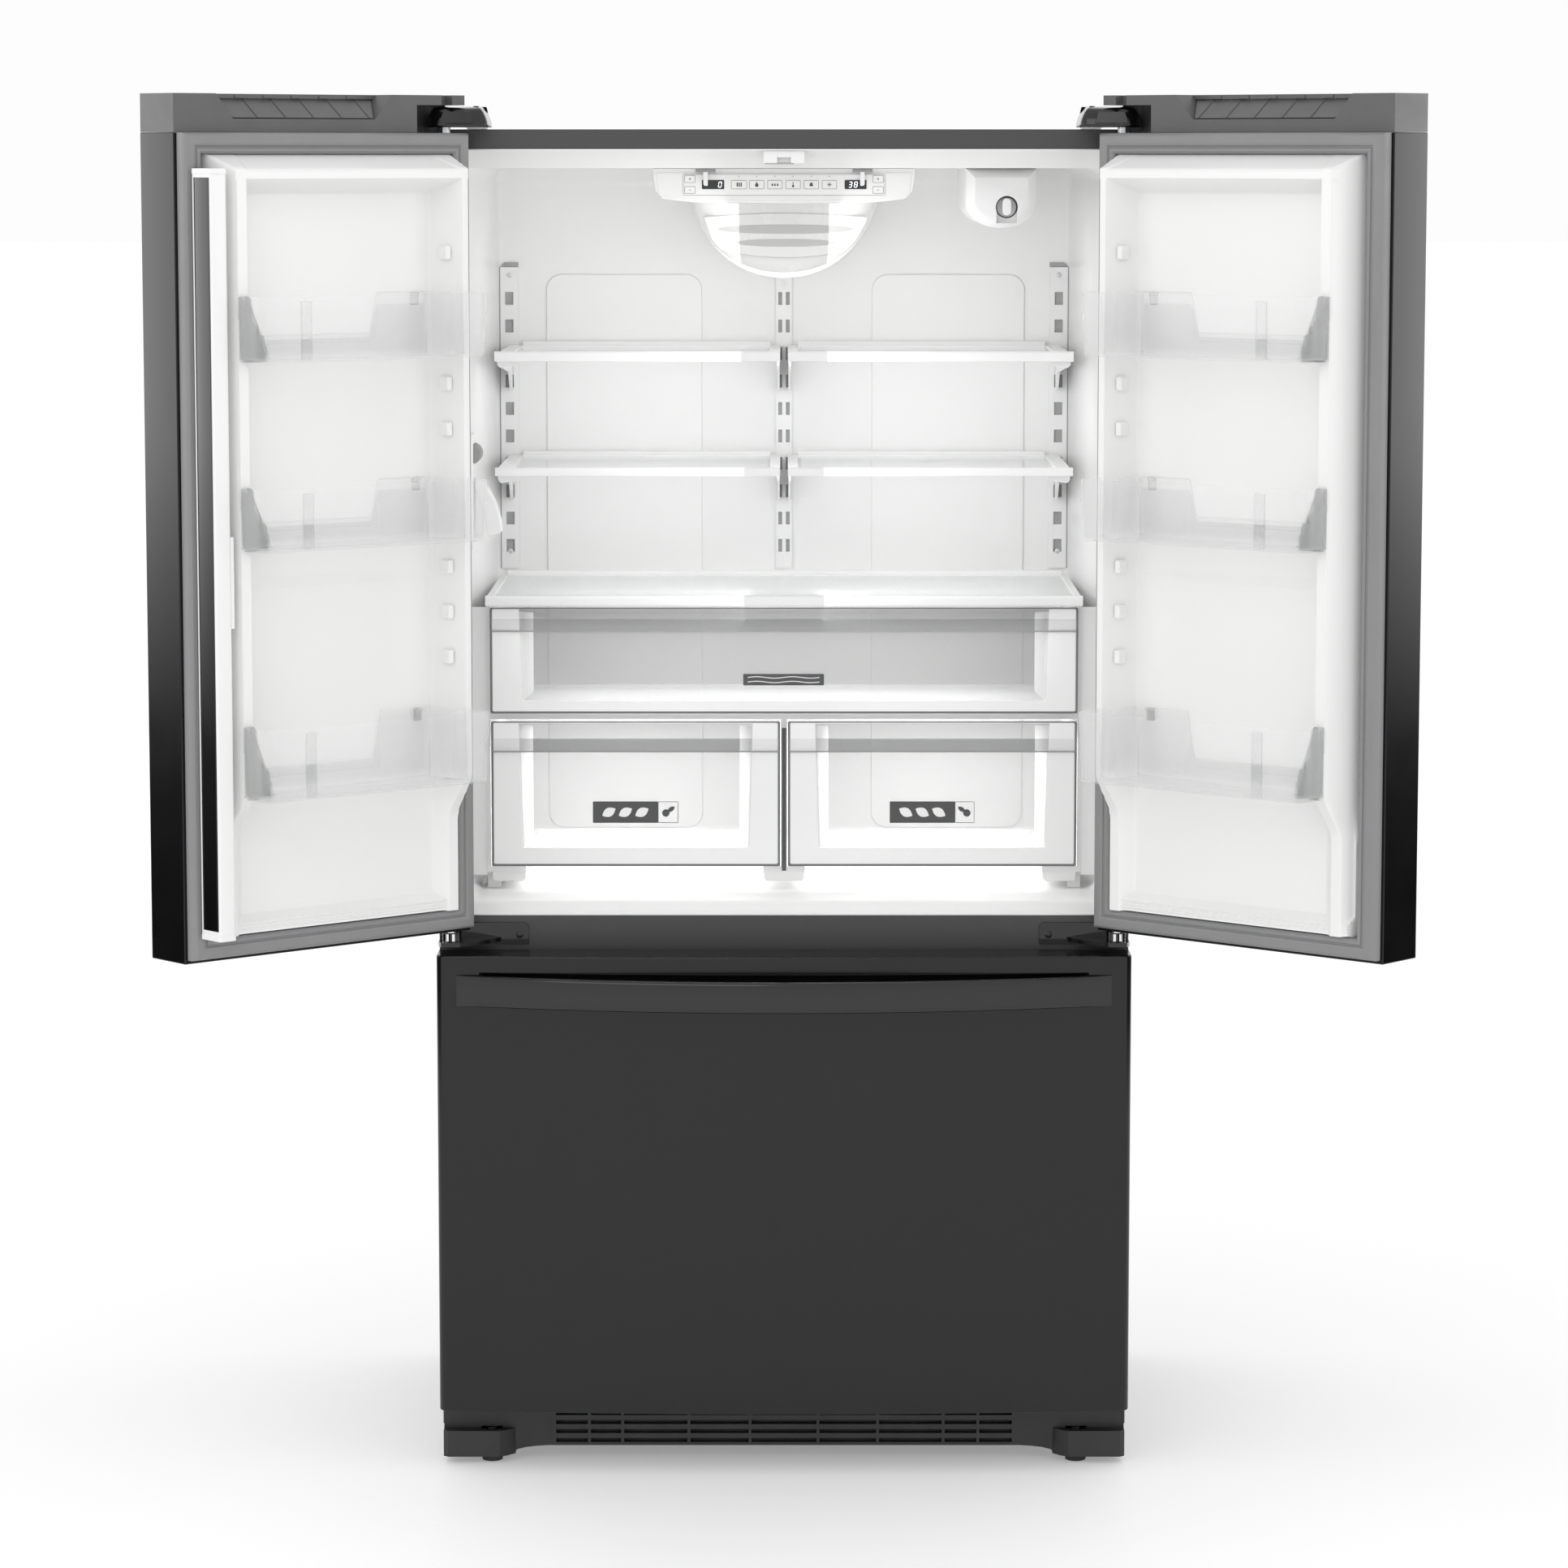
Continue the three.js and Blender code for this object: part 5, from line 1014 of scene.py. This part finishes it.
# levers
for nm, sp in (("left", "cab"), ("right", "mir")):
    build(f"{nm}_switch_bar", prism("x", -115.3, -89.2, rrect(57.2, 61.8, 1696.8, 1701.0, 1.2, 4)), "grey_edge", f"{nm}_door_switch", space=sp, bevel=0.4, replaces=f"{nm}_door_switch", slot="white_plastic")
    build(f"{nm}_switch_stem", prism("y", 57.8, 60.8, round_poly([(-105, 1697.4), (-105, 1681), (-103.5, 1679.2), (-99.2, 1679.2), (-99.2, 1697.4)], [0.5, 1, 1, 1, 0.5], 3)), "white_matte", f"{nm}_door_switch", space=sp, bevel=0.8, slot="white_plastic")

# water dispenser: paddle in front of a half-round spout on the wall
pad = round_poly([(-408, 1292), (-400, 1290), (-386, 1268), (-378, 1247), (-374.6, 1222), (-393, 1215.4), (-396, 1240), (-403, 1266), (-409.6, 1284)], [2, 3, 12, 10, 3, 3, 10, 10, 2], 4)
build("dispenser_paddle", prism("y", 132.3, 171.7, pad), "white", "water_paddle", sharp=40, bevel=2.0, seg=4, replaces="water_paddle", slot="white_plastic")
build("dispenser_spout", loft([[(-412 + d, y, 1326 - 0 * d + 12.5 * math.sin(t)) if False else (-414 + (13.5 - abs(d)) * math.cos(t), y, 1326 + (13.5 - abs(d)) * math.sin(t)) for t in [-math.pi / 2 + math.pi * i / 16 for i in range(17)]] for y, d in ((128, 3.5), (129, 1.2), (132, 0), (170, 0), (173, 1.2), (174, 3.5))]), "grey_edge", "cabinet", sharp=40, slot="white_plastic")
build("dispenser_base", prism("x", -416.5, -411.4, rrect(118, 186, 1200, 1352, 14, 6)), "white", "cabinet", bevel=1.8, seg=4, slot="white_plastic")

# ---------------------------------------------------------------- camera, lights, floor
scene = bpy.context.scene
cd = bpy.data.cameras.new("camera")
cam = bpy.data.objects.new("camera", cd)
bpy.context.collection.objects.link(cam)
cd.lens = 119.23
cd.sensor_width = 36.0
cd.clip_end = 100
cam.location = P(0, -6747, 1722.4)
cam.rotation_euler = (math.radians(90 - 6.934), 0, 0)
scene.camera = cam

w = bpy.data.worlds.new("studio")
scene.world = w
w.use_nodes = True
bg = w.node_tree.nodes["Background"]
bg.inputs["Color"].default_value = (1.0, 1.0, 1.0, 1)
bg.inputs["Strength"].default_value = 0.98

def area(name, loc, target, size, energy, size_y=None, spread=None, color=(1, 1, 1)):
    ld = bpy.data.lights.new(name, "AREA")
    ld.energy = energy
    ld.shape = "RECTANGLE"; ld.size = size; ld.size_y = size_y or size
    ld.color = color
    o = bpy.data.objects.new(name, ld)
    bpy.context.collection.objects.link(o)
    o.location = loc
    d = Vector(target) - Vector(loc)
    o.rotation_euler = d.to_track_quat("-Z", "Y").to_euler()
    return o

area("key", (-1.4, -4.6, 3.8), (0, 0, 1.0), 2.6, 25)
lamps = [area("rear_fill", P(0, 212, 1500), P(0, 560, 1440), 0.66, 0.46, size_y=0.16),
         area("rear_fill_mid", P(0, 200, 1385), P(0, 560, 1350), 0.66, 0.26, size_y=0.10),
         area("rear_fill_low", P(0, 190, 1230), P(0, 560, 1200), 0.66, 0.26, size_y=0.10),
         area("wall_fill_left", P(-60, 120, 1380), P(-420, 150, 1370), 0.30, 0.58, size_y=0.55),
         area("wall_fill_right", P(60, 120, 1380), P(420, 150, 1370), 0.30, 0.66, size_y=0.55),
         area("deli_fill", P(0, 300, 1116), P(0, 302, 900), 0.70, 1.5, size_y=0.26),
         area("left_crisper_fill", P(-198, 300, 962), P(-198, 302, 700), 0.33, 1.6, size_y=0.26), area("right_crisper_fill", P(198, 300, 962), P(198, 302, 700), 0.33, 1.6, size_y=0.26),
         area("floor_fill", P(0, 90, 1100), P(0, 130, 700), 0.7, 0.10, size_y=0.05)]
for o in lamps:
    o.visible_glossy = False
    o.visible_camera = False

def card(name, x, y0, y1, z0, z1, stops):
    """A glossy-only card beside the set: bright above, dark below."""
    me = bpy.data.meshes.new(name)
    me.from_pydata([(x, y0, z0), (x, y1, z0), (x, y1, z1), (x, y0, z1)], [], [(0, 1, 2, 3)])
    o = bpy.data.objects.new(name, me)
    bpy.context.collection.objects.link(o)
    m = bpy.data.materials.new(name); m.use_nodes = True
    nt = m.node_tree
    for n in list(nt.nodes):
        nt.nodes.remove(n)
    out = nt.nodes.new("ShaderNodeOutputMaterial"); em = nt.nodes.new("ShaderNodeEmission")
    tc = nt.nodes.new("ShaderNodeTexCoord"); sx = nt.nodes.new("ShaderNodeSeparateXYZ"); cr = nt.nodes.new("ShaderNodeValToRGB"); mr = nt.nodes.new("ShaderNodeMapRange")
    nt.links.new(tc.outputs["Object"], sx.inputs[0]); nt.links.new(sx.outputs["Z"], mr.inputs["Value"])
    mr.inputs["From Min"].default_value = z0; mr.inputs["From Max"].default_value = z1
    nt.links.new(mr.outputs["Result"], cr.inputs["Fac"])
    r = cr.color_ramp
    r.elements[0].position = stops[0][0]; r.elements[0].color = (*[stops[0][1]] * 3, 1)
    r.elements[1].position = stops[-1][0]; r.elements[1].color = (*[stops[-1][1]] * 3, 1)
    for p, v in stops[1:-1]:
        e = r.elements.new(p); e.color = (v, v, v, 1)
    nt.links.new(cr.outputs["Color"], em.inputs["Color"])
    em.inputs["Strength"].default_value = 1.0
    nt.links.new(em.outputs["Emission"], out.inputs["Surface"])
    me.materials.append(m)
    for f in ("visible_camera", "visible_diffuse", "visible_shadow", "visible_transmission", "visible_volume_scatter"):
        setattr(o, f, False)
    return o
for nm, sx_ in (("card_left", -1), ("card_right", 1)):
    card(nm, sx_ * 3.6, -2.2, 3.4, 0.0, 2.6, [(0.14, 0.0), (0.25, 0.10), (0.38, 1.3), (0.47, 2.4), (1.0, 2.5)])

fl = bpy.data.meshes.new("floor")
fl.from_pydata([(-300, -300, 0), (300, -300, 0), (300, 300, 0), (-300, 300, 0)], [], [(0, 1, 2, 3)])
floor = bpy.data.objects.new("floor", fl)
bpy.context.collection.objects.link(floor)
floor.location = (0, 0, -0.0006)
fl.materials.append(new_mat("floor_pale", (0.80, 0.80, 0.80), rough=0.65, emit=(1, 1, 1), emit_strength=0.26, bump=0.01, bump_scale=3, rough_var=0.05, rough_scale=2))

try:
    scene.view_settings.view_transform = "Standard"
    scene.view_settings.look = "None"
except TypeError:
    pass
